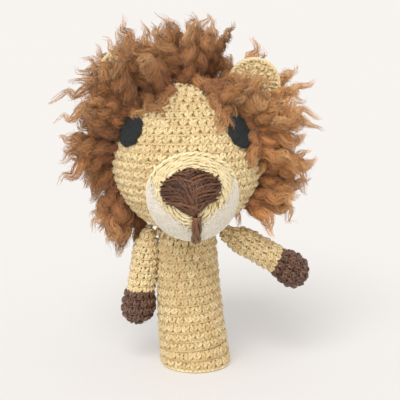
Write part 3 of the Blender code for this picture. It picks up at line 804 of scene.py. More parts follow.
def paw_radius(along):
    """Radius of the paw from its cuff to its rounded tip."""
    share = (along - CUFF) / (PAW_TIP - CUFF)
    if share < PAW_WIDEST:
        return CUFF_RADIUS + (PAW_RADIUS - CUFF_RADIUS) * math.sin(share / PAW_WIDEST * math.pi / 2)
    beyond = (share - PAW_WIDEST) / (1.0 - PAW_WIDEST)
    return PAW_RADIUS * math.sqrt(max(0.0, 1.0 - beyond ** 2.2))


def arm_frame(side):
    """The shoulder's pivot, and a map from the arm's own axes: z = 0 at the pivot, the paw below."""
    pivot = np.array(JOINTS[side + "_arm_raise"]["pos_m"])
    hinge = np.array(JOINTS[side + "_arm_swing"]["axis"])
    down = np.cross((0.0, -1.0, 0.0), hinge)
    down = down / np.linalg.norm(down)
    aside = np.cross((0.0, 1.0, 0.0), -down)
    sign = -1.0 if side == "right" else 1.0
    bow = sign * ARM_BOWS[side]

    def to_world(x, y, z):
        x = x + bow * np.sin(math.pi * np.clip(-z / PAW_TIP, 0.0, 1.0))
        back = np.array((0.0, 1.0, 0.0))
        return pivot + x[..., None] * aside + y[..., None] * back - z[..., None] * down

    return pivot, down, to_world


def make_arm(side, seed):
    """An arm, its paw and filling, and the stitches that hold it."""
    rng = np.random.default_rng(seed)
    pivot, down, to_world = arm_frame(side)

    # arm
    fabric = Fabric()
    alongs = np.linspace(CUFF + 0.4 * MM, ARM_ROOT - 0.95 * ARM_ROOT_RADIUS, 70)
    wall = Turned([(arm_radius(a), -a) for a in alongs], to_world)
    rows = round(wall.length / ARM_ROW)
    row_height = wall.length / rows
    rounds = stitch_rounds(wall, rows, row_height, ARM_STITCH, rng)
    single_crochet(fabric, wall, rounds, row_height, rng, proud=0.35 * MM, middle_shade=ARM_LIGHT_AND_SHADE[side])
    liner(fabric, wall, 0.0, wall.length, 1.1 * MM, around=24, along=20)
    fuzz(fabric, wall, 260, rng, 0.0, wall.length)
    piece = finish_piece(fabric, side + "_arm_crochet", YELLOW_CROCHET, side + "_arm_tube")
    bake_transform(piece)

    # paw
    fabric = Fabric()
    alongs = PAW_TIP - (PAW_TIP - CUFF + 0.4 * MM) * np.sin(np.linspace(0.03, 1.0, 60) * math.pi / 2) ** 1.6
    line = [(paw_radius(max(a, CUFF)), -a) for a in alongs]
    wall = Turned(line, to_world)
    row_height = wall.length / PAW_ROWS
    rounds = stitch_rounds(wall, PAW_ROWS, row_height, ARM_STITCH, rng, fewest=5)
    single_crochet(fabric, wall, rounds, row_height, rng, proud=0.45 * MM, middle_shade=0.5)
    liner(fabric, wall, 0.0, wall.length, 1.0 * MM, around=24, along=16)
    fuzz(fabric, wall, 220, rng, 0.1 * wall.length, wall.length)
    finish_piece(fabric, side + "_paw_crochet", BROWN_CROCHET, side + "_paw_cap", side + "_arm")

    # fibre filling, bent with the arm
    fabric = Fabric()
    share = np.linspace(0.0, 1.0, 24)
    alongs = FILL_END + (FILL_START - FILL_END) * share
    room = np.array([min(arm_radius(a), paw_radius(max(a, CUFF))) for a in alongs]) - FILL_DEPTH
    line = np.stack([room * np.sqrt(1.0 - np.abs(2.0 * share - 1.0) ** 6), -alongs], axis=1)
    wall = Turned(line, to_world)
    liner(fabric, wall, 0.0, wall.length, 0.0, slot=0, around=24, along=24)
    finish_piece(fabric, side + "_arm_filling", [fibre_fill], side + "_arm_stuffing",
                 side + "_arm")

    # whip stitches that hold the arm's end to the sleeve's shoulder
    fabric = Fabric()
    t = np.linspace(0.0, 1.0, 9)
    inward = -1.0 if side == "left" else 1.0
    turn = TURN * (np.arange(SHOULDER_WHIPS)[:, None] / SHOULDER_WHIPS) + 0.35 * (t - 0.5)
    reach = 2.3 * MM + 0.4 * MM * np.sin(math.pi * t)
    x = pivot[0] + inward * (2.4 * MM * (0.55 - t)) + np.zeros_like(turn)
    y = pivot[1] + reach * np.cos(turn)
    z = pivot[2] + reach * np.sin(turn) - 0.3 * MM
    paths = np.stack([x, y, z], axis=-1)
    up = paths - pivot
    fabric.strands(paths, SHOULDER_WHIP_YARN, up, 8, shades(rng, SHOULDER_WHIPS))
    finish_piece(fabric, side + "_shoulder_stitches", [yellow_yarn],
                 side + "_shoulder_seam_yarn", side + "_shoulder")


make_arm("right", 21)
make_arm("left", 22)


# Ears

EAR_RADIUS = 9.3 * MM
EAR_HALF_THICKNESS = 1.8 * MM
EAR_STITCH = 2.9 * MM
EAR_ROWS = 4
EAR_RIM_YARN = 0.75 * MM
EAR_DISTANCES = {"right": 35.6 * MM, "left": 34.2 * MM}


def make_ear(side, seed):
    """A lens of two crochet discs in one rim, with its lower part inside the head."""
    rng = np.random.default_rng(seed)
    hinge = np.array(JOINTS[side + "_ear_fold"]["pos_m"])
    outward = hinge - np.array(HEAD)
    outward[1] = 0.0
    outward = outward / np.linalg.norm(outward)
    aside = np.cross((0.0, 1.0, 0.0), outward)
    centre = np.array(HEAD) + outward * EAR_DISTANCES[side]
    centre[1] = hinge[1]
    fabric = Fabric()
    angle = np.linspace(0.0, 0.98 * math.pi / 2, 50)
    line = np.stack([EAR_RADIUS * np.cos(angle), EAR_HALF_THICKNESS * np.sin(angle)], axis=1)
    for face in (-1.0, 1.0):

        def to_world(x, y, z):
            return (centre + x[..., None] * aside * -face + y[..., None] * outward
                    + z[..., None] * np.array((0.0, face, 0.0)))

        wall = Turned(line, to_world)
        row_height = wall.length / EAR_ROWS
        rounds = stitch_rounds(wall, EAR_ROWS, row_height, EAR_STITCH, rng, spiral=0.0)
        spots = wall(rounds[:, 0], rounds[:, 1], np.zeros(len(rounds)))
        clear = np.linalg.norm(spots - np.array(HEAD), axis=1) > HEAD_RADIUS + 0.6 * MM
        single_crochet(fabric, wall, rounds[clear], row_height, rng, middle_shade=0.7)
        liner(fabric, wall, 0.0, wall.length, 0.8 * MM, around=37, along=14)
    # the rim, round the part outside the head
    t = np.linspace(0.0, 1.0, 60)[None, :]
    bend = np.radians(-60.0 + 300.0 * t)
    rim = (centre + (EAR_RADIUS - 0.7 * MM) * (np.cos(bend)[..., None] * aside
                                               + np.sin(bend)[..., None] * outward))
    fabric.strands(rim, EAR_RIM_YARN, rim - centre, 8, 0.8)
    fuzz(fabric, wall, 160, rng, 0.0, wall.length)
    ear = side + "_ear"
    finish_piece(fabric, ear + "_crochet", YELLOW_CROCHET, ear, ear)


make_ear("right", 31)
make_ear("left", 32)


# Face

def facing_frame(direction, roll=0.0):
    """Three axes: sideways, up and forward, with forward along a direction."""
    forward = np.asarray(direction, float) / np.linalg.norm(direction)
    side = np.cross((0.0, 0.0, 1.0), forward)
    side = side / np.linalg.norm(side)
    up = np.cross(forward, side)
    angle = math.radians(roll)
    turned_side = math.cos(angle) * side + math.sin(angle) * up
    turned_up = -math.sin(angle) * side + math.cos(angle) * up
    return turned_side, turned_up, forward


def on_ball(centre, axes, radius, turn, angle, out):
    """A point on a ball: turn round its forward axis, angle away from it, out beyond its surface."""
    side, up, forward = axes
    flat = np.cos(turn)[..., None] * side + np.sin(turn)[..., None] * up
    direction = np.sin(angle)[..., None] * flat + np.cos(angle)[..., None] * forward
    return np.array(centre) + (radius + np.asarray(out))[..., None] * direction


# The nose, as angles on the muzzle in degrees
NOSE_LIFT = 17.0               # above the way the muzzle faces
NOSE_TURN = 2.0                # towards the hanging arm
NOSE_ROLL = 6.0
NOSE_WIDE = 43.0               # from its centre to its side corners
NOSE_TOP = 25.0
NOSE_TIP = 36.0
NOSE_TIP_X = 0.05              # in radians
NOSE_STRANDS = 26
NOSE_PEAKS = 5                 # scallops of the fan's edge
NOSE_YARN = 0.44 * MM
NOSE_LAY_STRANDS = 12
NOSE_LAY_YARN = 0.40 * MM


def nose_reach(turn):
    """Angle from the nose's centre to its edge: a low dome above and a point below."""
    side, up = np.cos(turn), np.sin(turn)
    tall = np.where(up > 0, NOSE_TOP, NOSE_TIP)
    power = np.where(up > 0, 2.0, 1.15)
    reach = (np.abs(side / NOSE_WIDE) ** power + np.abs(up / tall) ** power) ** (-1.0 / power)
    return np.radians(reach)


def on_rim(turn, share):
    """Points (n, 2) in the nose's flat measure, at a share of the way from its centre to its edge."""
    reach = nose_reach(turn) * share
    return np.stack([reach * np.cos(turn), reach * np.sin(turn)], axis=1)


def make_nose():
    """Satin stitches over a padded ground."""
    rng = np.random.default_rng(41)
    lift = math.radians(NOSE_LIFT)
    facing = (-math.sin(math.radians(NOSE_TURN)), -math.cos(lift), math.sin(lift))
    axes = facing_frame(facing, NOSE_ROLL)
    fabric = Fabric()
    # a padded ground, in the dark brown liner as painted shade under the satin stitches
    turn = np.linspace(0.0, TURN, 49)[:, None]
    share = np.linspace(1.0, 0.0, 12)[None, :]
    angle = nose_reach(turn) * 0.97 * share
    out = 0.9 * MM - 0.7 * MM * (share ** 4) + np.zeros_like(angle)
    turns = np.broadcast_to(turn, angle.shape)
    fabric.sheet(on_ball(MUZZLE, axes, MUZZLE_RADIUS, turns, angle, out), 0.3, 1)

    def satin(first, last, proud, radius, bow):
        """Stitches from first to last, points (n, 2) in the nose's own flat measure."""
        count = len(first)
        t = np.linspace(0.0, 1.0, 12)
        flat = first[:, None] + (last - first)[:, None] * t[:, None]
        run = last - first
        square = np.stack([-run[:, 1], run[:, 0]], axis=1)
        flat = flat + bow[:, None, None] * square[:, None] * np.sin(math.pi * t)[:, None]
        angle = np.hypot(flat[..., 0], flat[..., 1])
        turns = np.arctan2(flat[..., 1], flat[..., 0])
        swell = np.sin(math.pi * np.clip(0.04 + 0.92 * t, 0, 1)) ** 0.4
        out = (0.10 + proud * swell + rng.normal(0.0, 0.07, (count, 1))) * MM
        paths = on_ball(MUZZLE, axes, MUZZLE_RADIUS, turns, angle, out)
        radii = radius * (0.75 + 0.25 * np.sin(math.pi * t)) * np.ones((count, 1))
        plied(fabric, paths, radii, paths - np.array(MUZZLE), rng, shades(rng, count, 0.5, 0.28), turns=1.2)

    # a fan from the tip, its ends on the scalloped edge
    fan = np.linspace(-22.0, 202.0, NOSE_STRANDS) + rng.normal(0.0, 1.0, NOSE_STRANDS)
    turn = np.radians(fan)
    scallop = 0.12 * np.cos(NOSE_PEAKS * TURN * (fan + 20.0) / 220.0)
    rim = on_rim(turn, 1.0 + scallop + rng.normal(0, 0.02, NOSE_STRANDS))
    tip = np.stack([rng.normal(NOSE_TIP_X, 0.02, NOSE_STRANDS),
                    -math.radians(NOSE_TIP) * rng.uniform(0.80, 0.98, NOSE_STRANDS)], axis=1)
    satin(tip, rim, 0.65, NOSE_YARN, 0.10 * np.cos(turn))
    # a second lay: in from the left edge, and from the top of the middle out to the right edge
    count = NOSE_LAY_STRANDS
    turn = np.radians(np.linspace(128.0, 212.0, count) + rng.normal(0.0, 1.5, count))
    inner = np.stack([rng.normal(0.05, 0.07, count), np.linspace(0.26, -0.48, count)], axis=1)
    satin(on_rim(turn, 0.97), inner, 1.0, NOSE_LAY_YARN, np.full(count, 0.10))
    turn = np.radians(np.linspace(66.0, -32.0, count) + rng.normal(0.0, 1.5, count))
    inner = np.stack([np.linspace(-0.16, 0.05, count), np.linspace(0.42, -0.38, count)], axis=1)
    satin(inner, on_rim(turn, 0.97), 1.05, NOSE_LAY_YARN, np.full(count, 0.08))
    finish_piece(fabric, "nose_satin_stitches", [nose_yarn, brown_shade_liner], "nose_embroidery",
                 "head")


MOUTH_FROM = 17.0              # degrees below the way the muzzle faces
MOUTH_TO = 75.0
MOUTH_SHIFT = 1.1              # millimetres towards the raised arm
MOUTH_YARN = 0.78 * MM


def make_mouth():
    """One stitch of three strands: two side by side and one over them."""
    rng = np.random.default_rng(42)
    fabric = Fabric()
    axes = facing_frame((0.0, -1.0, 0.0))
    t = np.linspace(0.0, 1.0, 16)
    angle = np.radians(MOUTH_FROM + (MOUTH_TO - MOUTH_FROM) * t)
    across = (MOUTH_SHIFT + np.array((-0.85, 0.85, 0.0))[:, None] + 0.5 * (1.0 - t)) * MM
    lift = np.array((0.0, 0.0, 0.40))[:, None]
    out = (0.75 + lift + 0.2 * np.sin(math.pi * t)) * MM
    turn = np.full((3, 16), -math.pi / 2)
    paths = on_ball(MUZZLE, axes, MUZZLE_RADIUS, turn, np.broadcast_to(angle, (3, 16)), out)
    paths = paths + across[..., None] * np.array((1.0, 0.0, 0.0))
    plied(fabric, paths, MOUTH_YARN, paths - np.array(MUZZLE), rng, shades(rng, 3, 0.7), turns=1.2)
    finish_piece(fabric, "mouth_yarn", [nose_yarn], "mouth_stitch", "head")


# The chin's crescent, in degrees from the way the muzzle faces
CHIN_NEAR = 42.0
CHIN_FAR = 94.0
CHIN_SPREAD = 204.0            # round the muzzle
CHIN_WEDGE = 11.0              # how far the crescent draws back beside the mouth stitch
CHIN_FIBRES = 9000
CHIN_FIBRE_LENGTH = 3.4 * MM
CHIN_FIBRE_RADIUS = 0.05 * MM


def chin_near(place):
    """The crescent's inner edge, by place from -1 to 1 along it, drawn back at its points and middle."""
    wedge = CHIN_WEDGE * np.exp(-(place / 0.16) ** 2)
    return CHIN_NEAR + wedge + (CHIN_FAR - CHIN_NEAR) * 0.6 * np.abs(place) ** 4


def make_chin():
    """The white crescent: a brushed ground under a thick coat of loose soft fibres."""
    rng = np.random.default_rng(43)
    fabric = Fabric()
    axes = facing_frame((0.0, -1.0, 0.0))
    half = math.radians(CHIN_SPREAD / 2)
    around = np.linspace(-1.0, 1.0, 81)[:, None]
    down = np.linspace(1.0, 0.0, 21)[None, :]
    near = chin_near(around)
    angle = np.radians(near + (CHIN_FAR - near) * down)
    turn = np.broadcast_to(-math.pi / 2 + half * around, angle.shape)
    out = (-0.25 + 0.50 * np.sin(math.pi * down) ** 0.5 + rng.normal(0.0, 0.04, angle.shape)) * MM
    fabric.sheet(on_ball(MUZZLE, axes, MUZZLE_RADIUS, turn, angle, out), 0.9)

    count = CHIN_FIBRES
    t = np.linspace(0.0, 1.0, 6)
    place = rng.uniform(-1.02, 1.02, (count, 1))
    near = chin_near(place)
    angle = np.radians(near + (CHIN_FAR - near) * rng.uniform(-0.16, 1.0, (count, 1)))
    heading = rng.normal(0.0, 0.8, (count, 1)) + math.pi * rng.integers(0, 2, (count, 1))
    length = CHIN_FIBRE_LENGTH * rng.uniform(0.4, 1.0, (count, 1))
    curl = rng.normal(0.0, 1.2, (count, 1))
    side = length * t * np.cos(heading + curl * t) / MUZZLE_RADIUS
    rise = length * t * np.sin(heading + curl * t) / MUZZLE_RADIUS
    out = (0.18 + 0.55 * np.sin(math.pi * t) * rng.uniform(0.2, 1.0, (count, 1))) * MM
    turns = -math.pi / 2 + half * place + side / np.maximum(np.sin(angle), 0.3)
    paths = on_ball(MUZZLE, axes, MUZZLE_RADIUS, turns, angle + rise, out)
    tint = shades(rng, count, 0.85, 0.1)
    fabric.strands(paths, CHIN_FIBRE_RADIUS, paths - np.array(MUZZLE), 3, tint)
    finish_piece(fabric, "chin_white_yarn", [white_fuzz], "chin_patch", "head")


EYE_HALF_WIDTH = 5.3 * MM
EYE_HALF_HEIGHT = 5.8 * MM
EYE_CORNERS = 8
EYE_THICKNESS = 1.15 * MM
EYE_FIBRES = 500


def make_eye(side, seed):
    """A small felt oval, cut with straight snips, so its outline has corners."""
    rng = np.random.default_rng(seed)
    place = middle(side + "_eye_felt") - HEAD
    axes = facing_frame(place)
    fabric = Fabric()
    around = 8 * EYE_CORNERS + 1
    turn = np.linspace(0.0, TURN, around)[:, None]
    sector = TURN / EYE_CORNERS
    snip = math.cos(sector / 2) / np.cos((turn % sector) - sector / 2)
    oval = 1.0 / np.hypot(np.cos(turn) / EYE_HALF_WIDTH, np.sin(turn) / EYE_HALF_HEIGHT)
    share = np.concatenate([np.full(4, 1.0), np.linspace(1.0, 0.0, 14)[1:]])[None, :]
    height = np.concatenate([np.linspace(0.0, 1.0, 4), np.full(13, 1.0)])[None, :]
    height = height - 0.25 * (share > 0.999) * (height > 0.99)
    angle = oval * snip * share / HEAD_RADIUS
    out = height * EYE_THICKNESS + rng.normal(0.0, 0.03 * MM, angle.shape)
    out[-1] = out[0]
    points = on_ball(HEAD, axes, HEAD_RADIUS, np.broadcast_to(turn, angle.shape), angle, out)
    fabric.sheet(points)
    # loose fibres on its face
    count = EYE_FIBRES
    t = np.linspace(0.0, 1.0, 4)
    base_turn = rng.uniform(0.0, TURN, (count, 1))
    reach = np.sqrt(rng.uniform(0.0, 1.0, (count, 1)))
    oval = 1.0 / np.hypot(np.cos(base_turn) / EYE_HALF_WIDTH, np.sin(base_turn) / EYE_HALF_HEIGHT)
    angle = oval * 0.97 * reach / HEAD_RADIUS + 0.010 * t * rng.normal(0.0, 1.0, (count, 1))
    turns = base_turn + 0.08 * t * rng.normal(0.0, 1.0, (count, 1))
    out = (1.1 + 0.22 * np.sin(math.pi * t) * np.ones((count, 1))) * MM
    paths = on_ball(HEAD, axes, HEAD_RADIUS, turns, angle, out)
    fabric.strands(paths, FIBRE_RADIUS, paths - np.array(HEAD), 3, shades(rng, count), 1)
    finish_piece(fabric, side + "_eye_oval", [felt, felt_fuzz], side + "_eye_felt", "head")


SEAM_PROUD = 0.3 * MM
SEAM_YARN = 0.68 * MM
SEAM_STITCHES = 26


def make_muzzle_seam():
    """The sewing yarn between the muzzle and the head."""
    rng = np.random.default_rng(46)
    offset = np.array(MUZZLE - HEAD)
    reach = np.linalg.norm(offset)
    # the circle in which the two balls meet
    ahead = (reach ** 2 + HEAD_RADIUS ** 2 - MUZZLE_RADIUS ** 2) / (2.0 * reach)
    centre = np.array(HEAD) + offset * ahead / reach
    around = math.sqrt(HEAD_RADIUS ** 2 - ahead ** 2) + SEAM_PROUD
    side, up, _ = facing_frame(offset)
    count = SEAM_STITCHES
    t = np.linspace(0.0, 1.0, 9)
    turn = TURN * (np.arange(count)[:, None] + 1.2 * t) / count
    along = 0.5 * MM * (t - 0.5) * np.ones((count, 1))
    paths = (centre + around * (np.cos(turn)[..., None] * side + np.sin(turn)[..., None] * up)
             + along[..., None] * offset / reach)
    fabric = Fabric()
    # painted light: the seam yarn is toned pale (0.85) so the crease it fills between muzzle and head does
    # not read dark
    plied(fabric, paths, SEAM_YARN, paths - centre, rng, shades(rng, count, 0.85))
    finish_piece(fabric, "muzzle_seam_stitches", [muzzle_yarn], "muzzle_seam_yarn", "head")


make_nose()
make_mouth()
make_chin()
make_eye("right", 44)
make_eye("left", 45)
make_muzzle_seam()


# Mane

MANE_ROWS = (
    {"polar": 70.0, "first": -118.0, "last": 118.0, "count": 13, "length": 15.5 * MM},
    {"polar": 109.0, "first": -128.0, "last": 128.0, "count": 12, "length": 15.0 * MM},
    {"polar": 136.0, "first": -140.0, "last": 140.0, "count": 9, "length": 12.0 * MM},
)
MANE_PARTING = 14.0            # degrees the front row's middle lock is set back from the forehead
MANE_TEMPLE = 80.0             # azimuth past which the front row runs behind the cheeks
MANE_CHEEK_SETBACK = 12.0
MANE_CROWN_EXTRA = 4.5 * MM
MANE_DROOP = 4.0 * MM
LOCK_HALF_WIDTH = 5.2 * MM
LOCK_HALF_DEPTH = 4.8 * MM
CLUMPS = 8
CLUMP_GIRTH = 1.9 * MM
MANE_SHADE = 0.54              # the locks' tint: 0 is the deepened brown and 1 the ramp's own, paler colour
MANE_SIDE_LIGHT = 0.62         # painted light: how much paler it gets towards the raised arm
MANE_SIDE_FROM = 15.0          # azimuth where that starts
MANE_LOW_SHADE = 0.15
MANE_FAR_SIDE_SHADE = 0.10
BACK_ROW = 130.0               # a polar angle between the second row's and the last's
NAPE = 120.0                   # azimuth past which the last row lies across the nape
BACK_FALL = 0.7                # how steeply the locks behind the head hang
MOST_FORWARD = -0.40           # nothing points straighter ahead than this
CRIMP = 1.1 * MM
CRIMP_LENGTH = 5.6 * MM
COAT_STRANDS = 98              # on each clump
COAT_RADIUS = 0.10 * MM
FUZZ_STRANDS = 52
FUZZ_RADIUS = 0.055 * MM

# Locks combed away from their own direction: number, length share, then sideways, back and up
LOCK_STYLES = {
    1: (0.95, 0.25, 0.10, -0.80),
    2: (0.65, 0.0, 0.0, -0.2),
    3: (1.15, 0.0, 0.0, 0.0),
    4: (1.00, 0.0, 0.0, 0.10),
    5: (1.25, -0.05, -0.05, 0.10),
    6: (1.25, -0.25, -0.10, 0.0),
    7: (1.10, 0.0, 0.0, 0.0),
    8: (0.92, 0.72, -0.55, -0.82),
    9: (0.95, 0.35, -0.55, -0.60),
    10: (1.15, 0.20, -0.20, -0.10),
    11: (0.95, 0.0, 0.0, 0.0),
    12: (1.10, 0.0, 0.0, 0.0),
    13: (0.90, 0.30, 0.0, 0.20),
    14: (1.25, 0.25, 0.0, -0.70),
    15: (0.56, 0.0, 0.0, -0.30),
    17: (0.92, 0.0, -0.20, 0.0),
    18: (1.20, 0.0, -0.20, 0.0),
    19: (1.12, 0.0, -0.20, 0.0),
    20: (1.22, -0.18, -0.20, 0.0),
    21: (0.75, 0.0, 0.30, 0.0),
    22: (1.45, -0.05, 0.0, 0.42),
    23: (0.92, 0.0, 0.0, 0.0),
    24: (1.15, 0.0, -0.10, 0.0),
    25: (0.90, 0.30, 0.0, 0.20),
    27: (0.80, 0.0, 0.0, 0.0),
}

# Clumps combed down over the forehead and ears, for each lock: length in millimetres, then direction
FRINGES = {
    4: ((7.0, 0.6, -0.6, -0.7),),
    5: ((10.0, 0.5, -0.8, -0.8), (9.0, 0.9, -0.7, -0.6)),
    6: ((10.0, 0.3, -0.8, -0.8), (9.0, -0.4, -0.7, -0.9), (9.0, -0.8, -0.4, -0.6)),
    7: ((14.0, 0.9, -0.7, -0.7), (10.0, 0.8, -0.6, -0.5)),
    8: ((12.0, 0.5, -0.9, -0.9), (14.0, 0.9, -0.8, -0.8), (11.0, 0.0, -0.8, -0.9),
        (10.0, -0.5, -0.8, -0.8)),
    9: ((12.0, 0.0, -0.8, -1.0), (13.0, 0.3, -0.8, -1.0), (10.0, -0.4, -0.8, -0.8)),
    10: ((12.0, 0.1, -0.7, -1.0), (10.0, -0.3, -0.8, -0.9)),
    11: ((9.0, -0.1, -0.6, -1.0),),
}

# How much paler (positive: a painted golden highlight on the fringe over the forehead and towards the
# hanging arm) or browner (negative) those clumps are than the rest of their lock
FRINGE_HIGHLIGHT_AND_DARKENING = {4: 0.30, 5: 0.30, 6: 0.25, 7: 0.10, 8: -0.12, 9: -0.15, 10: -0.12}


def lock_axes(polar, azimuth):
    """A lock's outward direction and the two across it, by its angle from the face's and round the head."""
    polar, azimuth = math.radians(polar), math.radians(azimuth)
    normal = np.array((math.sin(polar) * math.sin(azimuth), -math.cos(polar),
                       math.sin(polar) * math.cos(azimuth)))
    sideways = np.array((math.cos(azimuth), 0.0, -math.sin(azimuth)))
    return normal, sideways, np.cross(normal, sideways)


def make_lock(number, polar, azimuth, length, lean, shade):
    """A tuft of brushed yarn: crimped, felted clumps that fan out, each under a coat of short fibres."""
    rng = np.random.default_rng(500 + number)
    normal, sideways, depthways = lock_axes(polar, azimuth)
    fringe = FRINGES.get(number, ())
    if polar > BACK_ROW:
        # the last row is combed over the back of the head, and its ends across the nape
        fringe = [(far, *(depthways + side * sideways)) for far, side in
                  ((17.0, -0.25), (14.0, 0.3), (10.0, 0.0), (19.0, 0.1))]
        if abs(azimuth) < NAPE:
            lean = lean + np.array((0.0, 0.0, -BACK_FALL))
            fringe += [(far, *(back * depthways + side * sideways)) for far, back, side in
                       ((13.0, 0.3, 1.0), (13.0, 0.3, -1.0), (12.0, -1.0, 0.3), (12.0, -1.0, -0.5),
                        (15.0, 1.0, 0.9), (15.0, 1.0, -0.9), (14.0, -0.3, 1.0), (14.0, -0.2, -1.0))]
        if abs(azimuth) > NAPE:
            towards = math.copysign(1.0, azimuth) * sideways
            fringe += [(15.0, *(towards + 0.15 * depthways)), (16.0, *(towards + 0.7 * depthways)),
                       (11.0, *(towards + 0.4 * depthways))]
    count = CLUMPS + len(fringe)
    every = np.arange(count)
    spread = np.arange(count) + 0.5
    ring = 0.9 * np.sqrt(np.minimum(spread / CLUMPS, 1.0))
    golden = spread * 2.39996 + rng.uniform(0.0, TURN)
    u, v = ring * np.cos(golden), ring * np.sin(golden)
    u, v = u[:, None], v[:, None]
    root = unit(normal + sideways * u * LOCK_HALF_WIDTH / HEAD_RADIUS
                + depthways * v * LOCK_HALF_DEPTH / HEAD_RADIUS)
    root = np.array(HEAD) + root * (HEAD_RADIUS - 1.2 * MM)
    heading = unit(normal + 0.34 * (sideways * u + depthways * v) + lean
                   + rng.normal(0.0, 0.15, (count, 3)))
    heading[:, 1] = np.maximum(heading[:, 1], MOST_FORWARD)
    heading = unit(heading)
    reach = length * rng.uniform(0.80, 1.10, (count, 1))
    thick = rng.uniform(0.85, 1.15, (count, 1))
    combed = (every >= CLUMPS)[:, None]
    for i, (far, *way) in enumerate(fringe):
        heading[CLUMPS + i] = unit(np.array(way))
        reach[CLUMPS + i] = far * MM
        thick[CLUMPS + i] *= 0.8
    first = unit(np.cross(heading, rng.normal(0.0, 1.0, (count, 3))))
    second = np.cross(heading, first)
    curl = rng.normal(0.0, 0.20, (count, 2))
    phase = rng.uniform(0.0, TURN, (count, 2))
    pitch = CRIMP_LENGTH * rng.uniform(0.8, 1.25, (count, 1))
    crimp = CRIMP * rng.uniform(0.6, 1.3, (count, 1))
    blunt = rng.uniform(0.62, 0.9, (count, 1))
    droop = MANE_DROOP * max(0.0, -math.cos(math.radians(azimuth))) + 0.8 * MM

    def girth(clump, t):
        swell = 0.70 + 0.42 * np.sin(math.pi * np.clip(0.08 + 0.85 * t, 0.0, 1.0))
        beyond = np.clip((t - blunt[clump]) / (1.0 - blunt[clump]), 0.0, 1.0)
        return CLUMP_GIRTH * thick[clump] * swell * np.sqrt(np.maximum(1.0 - beyond ** 2, 0.012))

    def spine(clump, t):
        """Points along clumps, for clump numbers (n,) and shares of their length (n, k)."""
        run = reach[clump] * t
        grow = smooth(t * 2.0) * crimp[clump]
        wave = TURN * run / pitch[clump]
        one = reach[clump] * curl[clump, :1] * t ** 2 + grow * np.sin(wave + phase[clump, :1])
        two = reach[clump] * curl[clump, 1:] * t ** 2 + grow * np.sin(wave + phase[clump, 1:])
        spot = (root[clump][:, None] + run[..., None] * heading[clump][:, None]
                + one[..., None] * first[clump][:, None] + two[..., None] * second[clump][:, None])
        spot[..., 2] -= droop * t ** 2
        # hair combed against the head lies on it
        offset = spot - np.array(HEAD)
        clear = HEAD_RADIUS - 1.2 * MM + smooth(t * 5.0) * (1.2 * MM + 0.75 * girth(clump, t))
        lift = clear / np.linalg.norm(offset, axis=-1)
        lift = np.where(combed[clump], lift, np.maximum(1.0, lift))
        return np.array(HEAD) + offset * lift[..., None]

    clump_shade = shade + rng.normal(0.0, 0.13, count) + FRINGE_HIGHLIGHT_AND_DARKENING.get(number, 0.0) * combed[:, 0]
    fabric = Fabric()
    t = 0.9 * (1.0 - (1.0 - np.linspace(0.0, 1.0, 16)) ** 1.5)
    t = np.broadcast_to(t, (count, 16))
    # painted shade: each clump's heart is tinted 0.2 darker than its coat, for the shade inside the tuft
    heart = 0.60 * girth(every, t) * (1.0 - 0.8 * smooth((t - 0.5) / 0.4))
    fabric.strands(spine(every, t), heart, np.array((0.3, -1.0, 0.2)), 8,
                   np.clip(clump_shade - 0.2, 0.0, 1.0), along=t)

    def coat(per_clump, rings, span, depth, wave, radius, lift):
        """Strands laid along each clump: their share of its length, how deep they lie, how they wave."""
        total = count * per_clump
        clump = np.repeat(every, per_clump)
        s = np.linspace(0.0, 1.0, rings)
        extent = rng.uniform(0.6, 1.3, (total, 1)) * span
        begin = rng.uniform(-0.02, 1.0, (total, 1)) * (1.0 - 0.75 * extent)
        t = begin + extent * s
        along = np.clip(t, 0.0, 1.0)
        here, ahead = spine(clump, t), spine(clump, t + 0.02)
        tangent = unit(ahead - here)
        aside = unit(np.cross(tangent, np.array((0.31, -0.9, 0.27))))
        above = np.cross(tangent, aside)
        rest = girth(clump, along) * np.sqrt(rng.uniform(depth, 1.0, (total, 1)))
        rest = np.maximum(rest, 0.55 * CLUMP_GIRTH * np.sqrt(rng.uniform(0.0, 1.0, (total, 1))))
        away = rest * (1.0 + lift * np.sin(math.pi * s) * rng.uniform(0.0, 1.0, (total, 1)))
        around = rng.uniform(0.0, TURN, (total, 1)) + rng.normal(0.0, 1.1, (total, 1)) * s
        beat = TURN * t * reach[clump] / (2.6 * MM) + rng.uniform(0.0, TURN, (total, 1))
        around = around + wave * np.sin(beat)
        away = away + 0.12 * MM * np.cos(1.3 * beat)
        outward = np.cos(around)[..., None] * aside + np.sin(around)[..., None] * above
        thick_here = radius * (1.0 - 0.45 * s) * rng.uniform(0.75, 1.25, (total, 1))
        tint = np.clip(clump_shade[clump] + rng.normal(0.0, 0.16, total), 0.0, 1.0)
        fabric.strands(here + away[..., None] * outward, thick_here, outward, 3, tint, along=along)

    coat(COAT_STRANDS, 8, 0.42, 0.35, 0.28, COAT_RADIUS, 0.15)
    coat(FUZZ_STRANDS, 6, 0.24, 0.85, 0.6, FUZZ_RADIUS, 0.8)

    lock = f"mane_lock_{number:02d}"
    finish_piece(fabric, f"mane_tuft_{number:02d}", [mane_yarn], lock, "head")


